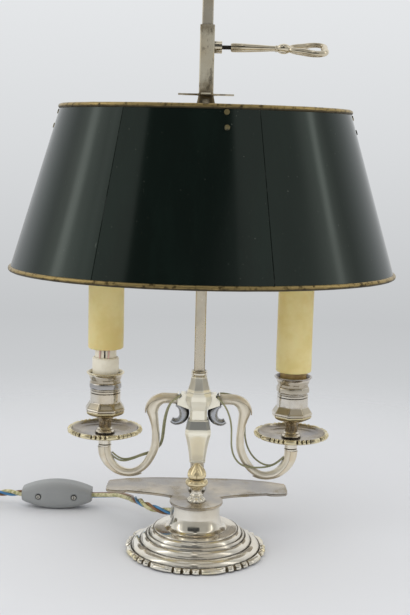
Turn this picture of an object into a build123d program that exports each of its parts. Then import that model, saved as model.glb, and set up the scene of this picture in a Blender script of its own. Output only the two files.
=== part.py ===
from build123d import *
from math import cos, hypot, pi, radians, sin, tan
import os

# Bouillotte lamp: two fixed candle arms on a stem, and an oval shade that slides on a square rod.
# Millimetres, +Z up. The stem stands on X = 0, Y = 0, and the table is Z = 0.
# The round foot and its drum stand in front of the stem, and the contoured plate joins the two.

# ---------------------------------------------------------------- driving dimensions
base_y = -34.0          # axis of the foot and drum
felt_thick = 1.2
felt_r = 58.0

foot_rim_r = 64.6       # scalloped edge
foot_rim_thick = 3.2
foot_step_r = 58.5      # lower roll, just inside the edge
foot_mid_r = 50.7       # middle roll
foot_bead_r = 45.0      # double bead
foot_top_r = 38.3       # flat shelf under the drum
foot_mid_z = 9.8
foot_bead_z = 15.4
foot_top_z = 22.0
foot_wall = 2.0
scallop_groups = 8      # each group is one wide lobe and three small beads
scallop_depth = 1.3

ballast_gap = 0.3
ballast_thick = 6.5

drum_r = 24.4           # at its foot
drum_waist_r = 21.4
drum_top_r = 22.6
drum_wall = 2.0

plate_top_z = 46.8
plate_thick = 2.2
lobe_r = 24.5
wing_span = 85.0        # half of the plate's length
wing_back_y = 32.0
wing_front_y = -19.0
wing_tip_back_y = 19.5
wing_tip_front_y = -10.0

thread_r = 4.0          # tie rods that clamp the base and the stem
thread_gap = 0.2
nut_flats = 13.0
nut_thick = 6.5

acorn_foot_r = 8.3
acorn_foot_h = 4.8
acorn_neck_r = 4.2
acorn_neck_h = 6.4
acorn_cup_r = 9.4
acorn_cup_h = 9.6
acorn_nut_h = 14.6

column_half = 6.3       # half width of the square column foot
column_h = 27.2
vase_h = 41.2
vase_bottom_half = 7.6
vase_shoulder_half = 12.2
hub_h = 25.6
hub_waist_half = 8.0
hub_top_half = 11.6
ear_reach = 19.8        # from the stem axis to the face that carries an arm
ear_h = 11.5
ear_top_drop = 1.5
ear_half_y = 6.2
bell_h = 15.0
bell_bottom_half = 11.2
bell_top_half = 7.1
collar_h = 5.4
collar_r = 7.5

rod_half = 5.0          # square rod that the shade slides on
rod_corner = 0.8
rod_socket = 12.0       # how far the rod reaches down into the hub
rod_top_z = 550.0
fit_gap = 0.08          # running gap of a sliding or turning fit
snug = 0.05             # gap of a fixed fit
finial_h = 25.0
finial_r = 8.0

candle_x = 87.5         # axis of each candle
arm_end_z = 86.9
arm_end_r = 5.65
stud_r = 2.0
stud_length = 17.0

collar_pan_r = 6.1      # turned collar between an arm and its drip pan
pan_z = 98.0            # underside of the pan's floor
pan_r = 35.2
pan_floor = 1.6
pan_rim_h = 5.6
pan_rim_w = 3.0
nipple_r = 4.9
nipple_bore_r = 3.2
nipple_top_z = 146.0

cup_foot_r = 8.9
cup_foot_h = 3.6
cup_neck_r = 5.6
cup_neck_h = 12.2
cup_belly_half = 18.1
cup_belly_h = 14.0
cup_body_half = 14.2
cup_body_h = 28.8
cup_rim_r = 17.6
cup_bore_r = 12.6
cup_floor = 17.0        # solid height below the bore, measured from the belly's underside

holder_r = 12.3         # white ring that stands in the cup
holder_ring_top_z = 172.0
holder_neck_r = 9.9
slot_w = 1.6
slot_h = 30.0
holder_head_r = 12.3
holder_head_h = 16.0
holder_top_z = 252.0
cap_r = 6.95            # screw cap of the bulb
cap_depth = 24.0
cap_gap = 0.2
bulb_r = 17.5
bulb_neck_r = 8.4
bulb_h = 75.0
bulb_waist_h = 8.0      # heights above the glass's foot where its outline changes
bulb_wide_h = 30.0
bulb_shoulder_h = 46.0
bulb_waist_curve = 14.0
bulb_side_curve = 40.0
bulb_shoulder_curve = 26.0
bulb_flame_curve = 60.0
bulb_tip_r = 2.0
bulb_tip_h = 3.0

sleeve_wall = 4.1
sleeve_short = 5.5      # how far a sleeve that is down ends below the holder's top
sleeve_seat = 0.3       # gap over the cup's rim when the sleeve is down
sleeve_raise = {"left": 22.0, "right": 4.0}     # how far each sleeve stands above its seat

shade_bottom_half_x = 175.0  # half axes of the oval shade
shade_bottom_half_y = 127.0
shade_top_half_x = 130.0
shade_top_half_y = 94.5
shade_bottom_z = 255.0
shade_top_z = 400.0
shade_wall = 0.9
bead_r = 2.1
strap_w = 11.0
strap_thick = 1.6
strap_drop = 25.0       # length of the tabs that lie down the shade's inside
strap_turn = 10.5       # degrees that the front and back straps stand off square
rivet_r = 2.3
rivet_h = 1.3
rivet_pitch = 12.6
rivet_first = 4.6       # below the shade's top edge

carrier_h = 14.0        # from the shade's top edge up to the slider
slider_half = 6.5
slider_h = 60.0
boss_r = 5.35
boss_reach = 13.2
boss_rise = 41.0        # above the slider's lower end
cross_half = 25.0
cross_w = 9.0
cross_thick = 1.4

screw_r = 2.0           # clamp screw thread
screw_end = 20.8        # where its thread stops, from the stem axis
shank_r = 2.5
key_bead_x = 68.4
key_bead_r = 4.45
key_bead_half = 5.8
bow_half_long = 17.2
bow_half_wide = 10.0
bow_rod_r = 1.9
bow_tilt = 24.0

wire_d = 1.7
ear_hole_r = 1.9
wire_end_x = 81.4       # where the wires go into the arm ends
wire_end_z = 79.8
ear_hole_x = 17.7
ear_hole_drop = 3.0     # below the top of the hub

cord_d = 7.0
cord_exit_z = 33.0
cord_exit_turn = 165.0  # degrees from +X, seen from above
grommet_r = 5.8
grommet_flange = 1.6

switch_x = -142.0
switch_y = 71.0
switch_half_long = 35.2
switch_half_high = 13.8
switch_end_half = 5.9
switch_thick = 21.0
switch_wall = 2.0
switch_edge = 1.5
rocker_half_long = 11.0
rocker_half_high = 5.6
rocker_gap = 0.5
rocker_pin_r = 1.3
rocker_tilt = 6.0
switch_screw_x = 18.0
switch_screw_r = 2.6
switch_recess = 1.6

coil_x = -264.0
coil_y = 41.5
coil_r = 44.0           # middle of its outer turn
coil_turn_pitch = 7.0
coil_rows = 3
coil_layers = 2
tie_w = 8.0
tie_thick = 1.4

plug_x = -320.0
plug_y = 44.0           # where the cord enters its strain relief
relief_h = 22.0
relief_r = 5.2
plug_h = 34.0
plug_half_w = 11.5
plug_half_t = 7.0
pin_r = 2.0
pin_h = 19.0
pin_root_r = 2.7        # thicker root that is moulded into the plug
pin_root_h = 5.0
pin_root_proud = 0.5
pin_pitch = 19.0

# ---------------------------------------------------------------- levels worked out from the sizes
plate_z = plate_top_z - plate_thick
foot_z = felt_thick
vase_z = plate_top_z + column_h
hub_z = vase_z + vase_h
hub_top_z = hub_z + hub_h
bell_z = hub_top_z
collar_z = bell_z + bell_h
rod_z = hub_top_z - rod_socket
pan_top_z = pan_z + pan_floor + pan_rim_h
cup_z = pan_z + pan_floor
belly_z = cup_z + cup_foot_h + cup_neck_h
cup_body_z = belly_z + cup_belly_h
cup_top_z = cup_body_z + cup_body_h
holder_z = belly_z + cup_floor
sleeve_bore_r = holder_head_r + 0.1
sleeve_r = sleeve_bore_r + sleeve_wall
sleeve_down_z = cup_top_z + sleeve_seat
sleeve_h = holder_top_z - sleeve_short - sleeve_down_z
slider_bottom_z = shade_top_z + carrier_h
slider_top_z = slider_bottom_z + slider_h
boss_z = slider_bottom_z + boss_rise
bulb_z = holder_top_z + 6.0
drum_z = foot_top_z
sides = {"left": -1, "right": 1}

os.makedirs("parts", exist_ok=True)


# ---------------------------------------------------------------- helpers
def outline(*steps):
    """A closed face in the XZ plane: points, and arcs as (x, z, signed radius) to that point."""
    edges = []
    here = steps[0]
    for step in steps[1:] + (steps[0][:2],):
        there = step[:2]
        if len(step) == 3:
            edges.append(RadiusArc(here[:2], there, step[2]))
        elif hypot(there[0] - here[0], there[1] - here[1]) > 1e-6:
            edges.append(Line(here[:2], there))
        here = there
    return Plane.XZ * make_face(edges)


def turned(*steps, x=0.0, y=0.0):
    """A turned piece: a profile of (radius, height) spun about a vertical axis at x, y."""
    return Pos(x, y, 0) * revolve(outline(*steps), Axis.Z)


def tube(radius, low, high, x=0.0, y=0.0):
    return Pos(x, y, low) * Cylinder(radius, high - low, align=(Align.CENTER, Align.CENTER, Align.MIN))


def block(x_low, x_high, y_low, y_high, z_low, z_high):
    size = (x_high - x_low, y_high - y_low, z_high - z_low)
    return Pos(x_low, y_low, z_low) * Box(*size, align=(Align.MIN, Align.MIN, Align.MIN))


def eight_sided(half_x, half_y, cut, z):
    """A rectangle with its corners cut, as a face at height z."""
    corners = []
    for sx, sy in ((1, 1), (-1, 1), (-1, -1), (1, -1)):
        pair = [(sx * half_x, sy * (half_y - cut)), (sx * (half_x - cut), sy * half_y)]
        corners += pair if sx * sy > 0 else pair[::-1]
    return Pos(0, 0, z) * make_face(Polyline(*corners, close=True))


def square_bar(half, corner, low, high):
    return Pos(0, 0, low) * extrude(eight_sided(half, half, corner, 0), high - low)


def faceted(levels, x=0.0):
    """A facetted block through (height, half width, corner cut as a share of the half width)."""
    sections = [eight_sided(half, half, half * share, z) for z, half, share in levels]
    return Pos(x, 0, 0) * loft(sections, ruled=True)


def scalloped(radius, z_low, z_high, x=0.0, y=0.0):
    """A disc whose edge repeats one wide lobe and three small beads."""
    group = 360.0 / scallop_groups
    widths = [0.5 * group] + [group / 6] * 3
    angle = 90.0 - 0.25 * group
    edges = []
    for index in range(scallop_groups):
        for width in widths:
            rim = [(radius - scallop_depth, angle), (radius, angle + width / 2)]
            rim.append((radius - scallop_depth, angle + width))
            points = [(r * cos(radians(a)), r * sin(radians(a))) for r, a in rim]
            edges.append(ThreePointArc(*points))
            angle += width
    return Pos(x, y, z_low) * extrude(make_face(edges), z_high - z_low)


def hexagon_nut(x, y, low, bore):
    face = RegularPolygon(nut_flats / 2, 6, major_radius=False) - Circle(bore)
    return Pos(x, y, low) * extrude(face, nut_thick)


def corner_radii(points):
    """The largest smooth arc at each corner of a cord's route."""
    radii = []
    for before, here, after in zip(points, points[1:], points[2:]):
        run_in = Vector(*here) - Vector(*before)
        run_out = Vector(*after) - Vector(*here)
        half_turn = radians(run_in.get_angle(run_out)) / 2
        radii.append(0.45 * min(run_in.length, run_out.length) / tan(half_turn))
    return radii


def cord_tube(name, points, diameter):
    radii = corner_radii(points)
    path = FilletPolyline(*points, radius=radii)
    start = Plane(origin=path @ 0, z_dir=path % 0)
    solid = sweep(start * Circle(diameter / 2), path=path)
    expected = path.length * pi * diameter * diameter / 4
    print(f"{name}: length {path.length:.1f}, radii {[round(r, 1) for r in radii]}, "
          f"volume share {solid.volume / expected:.4f}")
    return solid


nodes = {}


def keep(name, *solids):
    nodes[name] = solids[0] if len(solids) == 1 else Compound(children=[s for s in solids])


def both_sides(name, make):
    for side, sign in sides.items():
        keep(f"{name}_{side}", make(sign))


# ---------------------------------------------------------------- foot, ballast and felt
def foot():
    rim = scalloped(foot_rim_r, foot_z, foot_z + foot_rim_thick, y=base_y)
    rim_z = foot_z + foot_rim_thick
    shelf = turned(
        (0, foot_z), (foot_step_r + 1, foot_z), (foot_step_r + 1, rim_z + 0.6),
        (foot_step_r, rim_z), (foot_mid_r + 0.4, foot_mid_z - 0.2, -8.5),
        (foot_mid_r, foot_mid_z - 0.5), (foot_bead_r + 0.4, foot_bead_z, -8.0),
        (foot_bead_r, foot_bead_z - 0.4), (foot_bead_r - 1.9, foot_bead_z + 1.9, -2.2),
        (foot_bead_r - 2.3, foot_bead_z + 1.5), (foot_top_r + 0.5, foot_top_z - 0.7, -6.5),
        (foot_top_r, foot_top_z - 1.0), (foot_top_r - 0.6, foot_top_z),
        (0, foot_top_z), y=base_y)
    hollow = turned(
        (0, foot_z), (foot_step_r - foot_wall, foot_z), (foot_step_r - foot_wall, rim_z - 0.8),
        (foot_mid_r - foot_wall, foot_mid_z - foot_wall),
        (foot_bead_r - foot_wall - 1, foot_bead_z - foot_wall),
        (foot_top_r - foot_wall - 1, foot_top_z - foot_wall), (0, foot_top_z - foot_wall), y=base_y)
    hole = tube(thread_r + thread_gap, foot_z, foot_top_z, y=base_y)
    return rim + shelf - hollow - hole


def ballast():
    top = foot_top_z - foot_wall
    wide = foot_mid_r - foot_wall - 2.0
    narrow = foot_top_r - foot_wall - 1.6
    body = turned((0, foot_z), (wide, foot_z), (wide, foot_z + ballast_thick),
                  (narrow, top - ballast_gap), (0, top - ballast_gap), y=base_y)
    pocket = tube(nut_flats * 0.75, foot_z, foot_z + nut_thick + 1.5, y=base_y)
    return body - pocket - tube(thread_r + thread_gap, foot_z, top, y=base_y)


keep("foot", foot())
keep("foot_ballast", ballast())
keep("base_felt", tube(felt_r, 0, felt_thick, y=base_y))


# ---------------------------------------------------------------- drum, grommet and plate
exit_dir = Vector(cos(radians(cord_exit_turn)), sin(radians(cord_exit_turn)), 0)
drum_axis = Vector(0, base_y, 0)


def along_exit(distance, z=cord_exit_z):
    """A point on the cord's way out of the drum."""
    return drum_axis + exit_dir * distance + Vector(0, 0, z)


def exit_rod(radius, near, far):
    plane = Plane(origin=along_exit(near), z_dir=exit_dir)
    return plane * Cylinder(radius, far - near, align=(Align.CENTER, Align.CENTER, Align.MIN))


def drum():
    waist_z = 0.5 * (drum_z + plate_z)
    outside = turned((0, drum_z), (drum_r, drum_z), (drum_r, drum_z + 1.6),
                     (drum_waist_r, waist_z, 14.0), (drum_top_r, plate_z, 26.0), (0, plate_z), y=base_y)
    inside = tube(drum_waist_r - drum_wall, drum_z, plate_z, y=base_y)
    neck_r = cord_d / 2 + 1.0
    return outside - inside - exit_rod(neck_r, 0, drum_r + 5)


def grommet(drum_wall_solid):
    outer = drum_waist_r + grommet_flange
    neck = exit_rod(cord_d / 2 + 0.9, drum_waist_r - drum_wall - 1.2, outer)
    flange = exit_rod(grommet_r, drum_waist_r + 0.25, outer)
    return neck + flange - exit_rod(cord_d / 2, 0, outer + 5) - drum_wall_solid


def plate():
    tip_y = [wing_tip_back_y, 12.5, 5.0, -3.0, wing_tip_front_y]
    tip_x = [wing_span - 1.6, wing_span - 0.6, wing_span - 0.2, wing_span - 0.6, wing_span - 1.4]
    tips = list(zip(tip_x, tip_y))
    edges = [Spline((0, wing_back_y), (0.45 * wing_span, wing_back_y - 0.6), tips[0],
                    tangents=((1, 0), (0.86, -0.5)))]
    for near, far in zip(tips, tips[1:]):
        edges.append(ThreePointArc(near, ((near[0] + far[0]) / 2 + 1.1, (near[1] + far[1]) / 2), far))
    notch = (0.78 * wing_span, wing_tip_front_y - 1.0)
    edges.append(Spline(tips[-1], (0.9 * wing_span, wing_tip_front_y - 2.2), notch))
    edges.append(Spline(notch, (0.55 * wing_span, wing_front_y + 3.6), (lobe_r - 1.0, wing_front_y - 2.5)))
    edges.append(Line((lobe_r - 1.0, wing_front_y - 2.5), (0, wing_front_y - 2.5)))
    edges.append(Line((0, wing_front_y - 2.5), (0, wing_back_y)))
    half = make_face(edges)
    face = half + mirror(half, about=Plane.YZ) + Pos(0, base_y) * Circle(lobe_r)
    holes = Circle(thread_r + thread_gap)
    face = face - Pos(0, base_y) * holes - holes
    return Pos(0, 0, plate_z) * extrude(face, plate_thick)


keep("drum", drum())
keep("cord_grommet", grommet(nodes["drum"]))
keep("plate", plate())

# ---------------------------------------------------------------- tie rods, nuts and the acorn
acorn_z = plate_top_z + acorn_foot_h
acorn_cup_z = acorn_z + acorn_neck_h
acorn_nut_z = acorn_cup_z + acorn_cup_h
stem_nut_z = plate_z - nut_thick
ballast_roof_z = foot_z + nut_thick + 1.5

keep("base_tie_rod", tube(thread_r, foot_z + 1.4, acorn_cup_z, y=base_y))
keep("stem_tie_rod", tube(thread_r, stem_nut_z - 2.0, hub_z + 9.0))
keep("base_nuts",
     hexagon_nut(0, base_y, ballast_roof_z - nut_thick, thread_r + snug),
     hexagon_nut(0, 0, stem_nut_z, thread_r + snug))

acorn_hole = tube(thread_r + snug, plate_top_z, acorn_cup_z + 0.3, y=base_y)
keep("acorn_foot", turned(
    (0, plate_top_z), (acorn_foot_r, plate_top_z), (acorn_foot_r, plate_top_z + 1.7, -1.4),
    (acorn_foot_r - 2.2, acorn_z - 1.4, 2.6), (acorn_neck_r + 1.2, acorn_z), (0, acorn_z),
    y=base_y) - acorn_hole)
keep("acorn_finial", turned(
    (0, acorn_z), (acorn_neck_r + 1.0, acorn_z), (acorn_neck_r + 0.6, acorn_cup_z - 1.2, 9.0),
    (acorn_neck_r + 1.4, acorn_cup_z), (acorn_cup_r, acorn_nut_z - 2.4, -9.5),
    (acorn_cup_r - 0.5, acorn_nut_z, -1.6), (acorn_cup_r - 1.5, acorn_nut_z + 0.2),
    (1.2, acorn_nut_z + acorn_nut_h - 1.6, -15.5), (0, acorn_nut_z + acorn_nut_h),
    y=base_y) - acorn_hole)

# ---------------------------------------------------------------- stem: column, vase, hub, bell, rod
stem_hole = tube(thread_r + thread_gap, plate_top_z, hub_z + 9.3)
keep("column_foot", faceted([
    (plate_top_z, column_half + 1.2, 0.12), (plate_top_z + 1.6, column_half + 1.2, 0.12),
    (plate_top_z + 4.0, column_half, 0.12), (vase_z - 5.6, column_half, 0.12),
    (vase_z - 5.0, column_half - 0.7, 0.12), (vase_z - 4.4, column_half, 0.12),
    (vase_z, column_half + 0.3, 0.12)]) - stem_hole)
keep("lower_vase", faceted([
    (vase_z, vase_bottom_half - 0.6, 0.3), (vase_z + 1.6, vase_bottom_half, 0.3),
    (vase_z + 0.5 * vase_h, 0.5 * (vase_bottom_half + vase_shoulder_half) + 0.3, 0.27),
    (vase_z + 0.78 * vase_h, vase_shoulder_half - 0.4, 0.26),
    (vase_z + 0.9 * vase_h, vase_shoulder_half, 0.26),
    (vase_z + 0.96 * vase_h, vase_shoulder_half - 1.2, 0.3),
    (vase_z + vase_h, hub_waist_half + 0.6, 0.3)]) - stem_hole)


def stud(sign, radius, length):
    """The stud that holds an arm to its ear, or the hole for it."""
    return Pos(sign * ear_reach, 0, arm_root_z) * Rot(0, 90, 0) * Cylinder(radius, length)


def hub():
    body = faceted([
        (hub_z, hub_waist_half + 0.2, 0.3), (hub_z + 1.6, hub_waist_half + 0.2, 0.3),
        (hub_z + 0.35 * hub_h, hub_waist_half, 0.3), (hub_z + 0.6 * hub_h, hub_top_half - 1.2, 0.34),
        (hub_z + 0.72 * hub_h, hub_top_half, 0.4), (hub_top_z - 3.0, hub_top_half, 0.45),
        (hub_top_z, bell_bottom_half, 0.58)])
    ear_top = hub_top_z - ear_top_drop
    ear_low = ear_top - ear_h
    ear_shape = Plane.XZ * make_face(Polyline(
        (-ear_reach, ear_low + 1.2), (-ear_reach, ear_top), (ear_reach, ear_top),
        (ear_reach, ear_low + 1.2), (hub_waist_half, ear_low - 3.0),
        (-hub_waist_half, ear_low - 3.0), close=True))
    ears = extrude(ear_shape, ear_half_y, both=True)
    socket = square_bar(rod_half + snug, rod_corner, rod_z, hub_top_z)
    solid = body + ears - socket - stem_hole
    hole_z = hub_top_z - ear_hole_drop
    for sign in sides.values():
        drill = Pos(sign * ear_hole_x, 0, hole_z) * Rot(90, 0, 0) * Cylinder(ear_hole_r, ear_half_y * 2.2)
        solid = solid - drill - stud(sign, stud_r + snug, stud_length + 0.6)
    return solid


arm_root_z = hub_top_z - ear_top_drop - 0.52 * ear_h
keep("hub", hub())
rod_hole = square_bar(rod_half + snug, rod_corner, bell_z, collar_z + collar_h)
keep("bell", faceted([
    (bell_z, bell_bottom_half, 0.58), (bell_z + 1.2, bell_bottom_half - 0.3, 0.586),
    (bell_z + 3.4, bell_bottom_half - 2.2, 0.586), (bell_z + 7.0, bell_top_half + 0.8, 0.586),
    (bell_z + bell_h, bell_top_half, 0.586)]) - rod_hole)
keep("rod_collar", turned(
    (0, collar_z), (collar_r - 0.4, collar_z), (collar_r, collar_z + 0.7), (collar_r - 0.5, collar_z + 1.4),
    (collar_r, collar_z + 2.1), (collar_r + 0.1, collar_z + 3.4), (collar_r - 0.6, collar_z + 4.2),
    (collar_r, collar_z + 4.8), (collar_r - 0.3, collar_z + collar_h), (0, collar_z + collar_h)) - rod_hole)


keep("rod", square_bar(rod_half, rod_corner, rod_z, rod_top_z))
keep("rod_finial", turned(
    (0, rod_top_z), (rod_half + 1.2, rod_top_z), (rod_half + 1.2, rod_top_z + 1.8),
    (3.4, rod_top_z + 4.4, 3.4), (4.6, rod_top_z + 6.4), (finial_r, rod_top_z + 12.5, -7.5),
    (finial_r - 1.0, rod_top_z + 14.0), (1.0, rod_top_z + finial_h - 0.8, -12.5), (0, rod_top_z + finial_h)))


# ---------------------------------------------------------------- arms and their leaf brackets
def ring_section(point, heading, half_in, half_y):
    """An oval section across a bent bar in the XZ plane."""
    plane = Plane(origin=point, x_dir=(0, 1, 0), z_dir=heading)
    return plane * Ellipse(half_y, half_in)


def bent_bar(stations, sign):
    """A cast bar through (x, z, half thickness in the plane, half depth) stations."""
    centre = [Vector(sign * x, 0, z) for x, z, _, _ in stations]
    path = Spline(*centre)
    sections = []
    for station, point in zip(stations, centre):
        heading = path % path.param_at_point(point)
        sections.append(ring_section(point, heading, station[2], station[3]))
    return loft(sections)


arm_stations = [
    (ear_reach, arm_root_z, 4.6, 4.6), (27.0, arm_root_z + 0.2, 4.3, 4.6), (34.2, 133.2, 4.6, 4.8),
    (40.6, 129.2, 5.4, 4.9), (43.4, 122.6, 5.5, 4.8), (42.2, 115.6, 4.3, 4.2), (40.6, 107.0, 3.5, 3.9),
    (39.8, 97.0, 3.5, 3.8), (40.5, 86.6, 3.7, 3.8), (44.2, 77.2, 3.7, 3.8), (50.0, 68.6, 3.5, 3.8),
    (57.6, 63.0, 3.3, 3.8), (66.2, 61.6, 3.4, 4.0), (75.2, 64.4, 4.0, 4.4), (82.4, 70.9, 4.8, 5.0),
    (86.4, 78.6, 5.4, 5.5), (candle_x, arm_end_z, arm_end_r, arm_end_r)]


def wire_way(sign):
    """The hole in the inner side of an arm's cup end where its wires go in."""
    start = Vector(sign * (candle_x - 8.0), 0, wire_end_z - 3.2)
    plane = Plane(origin=start, z_dir=(sign, 0, 0.8))
    return plane * Cylinder(wire_d * 1.35, 8.0, align=(Align.CENTER, Align.CENTER, Align.MIN))


def arm(sign):
    bar = bent_bar(arm_stations, sign) - nodes["hub"] - wire_way(sign)
    nipple_hole = tube(nipple_r + snug, arm_end_z - 9.0, arm_end_z + 0.1, x=sign * candle_x)
    stud_hole = stud(sign, stud_r + snug, stud_length + 0.6)
    above = tube(2 * arm_end_r, arm_end_z, arm_end_z + 4.0, x=sign * candle_x)
    return bar - nipple_hole - stud_hole - above


scroll_stations = [
    (20.8, 128.6, 2.2, 4.4), (16.6, 126.6, 3.6, 5.2), (13.8, 122.2, 4.6, 5.4), (14.0, 117.0, 4.3, 5.0),
    (17.2, 113.0, 3.6, 4.4), (21.6, 111.8, 3.2, 3.8), (25.0, 113.4, 2.7, 3.2)]
both_sides("arm", arm)
both_sides("scroll", lambda sign: bent_bar(scroll_stations, sign) - nodes["hub"]
           - nodes["arm_left" if sign < 0 else "arm_right"])
keep("arm_studs", *[stud(sign, stud_r, stud_length) for sign in sides.values()])


# ---------------------------------------------------------------- candles: collar, pan, cup, holder, bulb
def pan_collar(sign):
    low = arm_end_z
    body = turned((0, low), (collar_pan_r, low), (collar_pan_r, low + 1.2), (collar_pan_r - 0.9, low + 1.8),
                  (collar_pan_r, low + 2.4), (collar_pan_r, low + 6.4), (collar_pan_r + 1.4, low + 8.6, 3.0),
                  (collar_pan_r + 1.4, pan_z), (0, pan_z), x=sign * candle_x)
    return body - tube(nipple_r + snug, low, pan_z, x=sign * candle_x)


def pan(sign):
    x = sign * candle_x
    inner = pan_r - pan_rim_w
    floor = turned(
        (0, pan_z), (10.0, pan_z), (inner - 6, pan_z + 1.0), (inner, pan_z + 2.6, -14.0),
        (inner, pan_z + 2.6 + pan_floor), (inner - 6.5, pan_z + 1.0 + pan_floor, 14.0),
        (10.0, pan_z + pan_floor), (0, pan_z + pan_floor), x=x)
    rim = scalloped(pan_r, pan_z + 2.2, pan_top_z, x=x)
    rim_bore = turned((0, pan_z), (inner - 0.6, pan_z), (inner - 0.6, pan_z + 4.4),
                      (inner + 1.4, pan_top_z), (0, pan_top_z), x=x)
    return floor + (rim - rim_bore) - tube(nipple_r + snug, pan_z, pan_top_z, x=x)


def cup(sign):
    x = sign * candle_x
    foot_and_neck = turned(
        (0, cup_z), (cup_foot_r, cup_z), (cup_foot_r, cup_z + 1.8, -1.2),
        (cup_foot_r - 2.6, cup_z + cup_foot_h),
        (cup_neck_r, cup_z + cup_foot_h + 3.4, 5.0), (cup_neck_r, belly_z - 4.0),
        (cup_neck_r + 3.0, belly_z, 5.0), (cup_neck_r + 3.0, belly_z + 1.0), (0, belly_z + 1.0), x=x)
    belly = faceted([
        (belly_z, cup_belly_half - 9.0, 0.5), (belly_z + 2.0, cup_belly_half - 2.6, 0.5),
        (belly_z + 4.6, cup_belly_half - 0.3, 0.5), (belly_z + 8.4, cup_belly_half, 0.5),
        (belly_z + 11.0, cup_belly_half - 1.6, 0.5), (cup_body_z, cup_body_half + 0.5, 0.45)], x=x)
    body = faceted([
        (cup_body_z, cup_body_half, 0.4), (cup_body_z + 11.4, cup_body_half, 0.4),
        (cup_body_z + 12.0, cup_body_half - 0.6, 0.4), (cup_body_z + 12.8, cup_body_half - 0.6, 0.4),
        (cup_body_z + 13.6, cup_body_half + 0.9, 0.4), (cup_body_z + 18.2, cup_body_half + 0.9, 0.4),
        (cup_body_z + 19.2, cup_body_half, 0.4), (cup_body_z + 22.4, cup_body_half, 0.4)], x=x)
    lip = turned(
        (0, cup_body_z + 22.0), (cup_body_half + 0.9, cup_body_z + 22.0),
        (cup_body_half + 0.5, cup_body_z + 23.4),
        (cup_rim_r, cup_top_z - 1.8, 5.2), (cup_rim_r, cup_top_z - 0.7), (cup_rim_r - 0.9, cup_top_z),
        (0, cup_top_z), x=x)
    bore = turned(
        (0, holder_z), (cup_bore_r, holder_z), (cup_bore_r, cup_top_z - 4.0),
        (cup_rim_r - 2.0, cup_top_z), (0, cup_top_z), x=x)
    return foot_and_neck + belly + body + lip - bore - tube(nipple_r + snug, cup_z, cup_top_z, x=x)


def holder_base(sign):
    x = sign * candle_x
    outside = turned((0, holder_z), (holder_r, holder_z), (holder_r, holder_ring_top_z - 1.0),
                     (holder_r - 1.0, holder_ring_top_z), (0, holder_ring_top_z), x=x)
    inside = tube(holder_neck_r + snug, nipple_top_z + 4.0, holder_ring_top_z, x=x)
    return outside - inside - tube(nipple_r + snug, holder_z, holder_ring_top_z, x=x)


def holder_body(sign):
    x = sign * candle_x
    low = nipple_top_z + 4.0
    head_z = holder_top_z - holder_head_h
    outside = turned((0, low), (holder_neck_r, low), (holder_neck_r, head_z - 2.0), (holder_head_r, head_z),
                     (holder_head_r, holder_top_z - 0.8), (holder_head_r - 0.8, holder_top_z),
                     (0, holder_top_z), x=x)
    socket = tube(cap_r + cap_gap, holder_top_z - cap_depth, holder_top_z, x=x)
    wire_way = tube(nipple_bore_r, low, holder_top_z, x=x)
    slot = block(x - slot_w / 2, x + slot_w / 2, -holder_r, holder_r,
                 holder_ring_top_z, holder_ring_top_z + slot_h)
    return outside - socket - wire_way - slot


def bulb(sign):
    x = sign * candle_x
    outer = (
        (0, bulb_z), (bulb_neck_r, bulb_z), (bulb_neck_r + 1.6, bulb_z + bulb_waist_h, bulb_waist_curve),
        (bulb_r, bulb_z + bulb_wide_h, -bulb_side_curve),
        (0.8 * bulb_r, bulb_z + bulb_shoulder_h, -bulb_shoulder_curve),
        (bulb_tip_r, bulb_z + bulb_h - bulb_tip_h, bulb_flame_curve), (0, bulb_z + bulb_h))
    return turned(*outer, x=x)


def bulb_cap(sign):
    low = holder_top_z - cap_depth
    return turned((0, low), (3.0, low), (cap_r, low + 3.0), (cap_r, bulb_z - 2.0), (bulb_neck_r, bulb_z),
                  (0, bulb_z), x=sign * candle_x)


def sleeve(sign):
    x = sign * candle_x
    low = sleeve_down_z + sleeve_raise["left" if sign < 0 else "right"]
    high = low + sleeve_h
    return turned((sleeve_bore_r, low), (sleeve_r - 0.8, low), (sleeve_r, low + 0.8, -0.8),
                  (sleeve_r, high - 1.2), (sleeve_r - 1.2, high, -1.2), (sleeve_bore_r, high), x=x)


both_sides("pan_collar", pan_collar)
both_sides("pan", pan)
both_sides("cup", cup)
keep("nipples", *[
    tube(nipple_r, arm_end_z - 8.8, nipple_top_z, x=sign * candle_x)
    - tube(nipple_bore_r, arm_end_z - 8.8, nipple_top_z, x=sign * candle_x) for sign in sides.values()])
both_sides("holder_base", holder_base)
both_sides("holder_body", holder_body)
both_sides("bulb", bulb)
keep("bulb_caps", *[bulb_cap(sign) for sign in sides.values()])
both_sides("sleeve", sleeve)


# ---------------------------------------------------------------- shade, straps, slider and clamp screw
def oval_cone(inset, low, high):
    """An oval cone between two heights, on the shade's own slope."""
    faces = []
    for z in (low, high):
        share = (z - shade_bottom_z) / (shade_top_z - shade_bottom_z)
        a = shade_bottom_half_x + share * (shade_top_half_x - shade_bottom_half_x) - inset
        b = shade_bottom_half_y + share * (shade_top_half_y - shade_bottom_half_y) - inset
        faces.append(Pos(0, 0, z) * Ellipse(a, b))
    return loft(faces, ruled=True)


def oval_bead(half_x, half_y, z):
    """A round bead rolled round the middle of the shade's wall."""
    middle_x = half_x - shade_wall / 2
    rim = Pos(0, 0, z) * Edge.make_ellipse(middle_x, half_y - shade_wall / 2)
    section = Plane(origin=(middle_x, 0, z), z_dir=(0, 1, 0)) * Circle(bead_r)
    return sweep(section, path=rim, is_frenet=True)


keep("shade_shell", oval_cone(0, shade_bottom_z, shade_top_z)
     - oval_cone(shade_wall, shade_bottom_z - 0.01, shade_top_z + 0.01))
keep("shade_bead_top", oval_bead(shade_top_half_x, shade_top_half_y, shade_top_z))
keep("shade_bead_bottom", oval_bead(shade_bottom_half_x, shade_bottom_half_y, shade_bottom_z))

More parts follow.
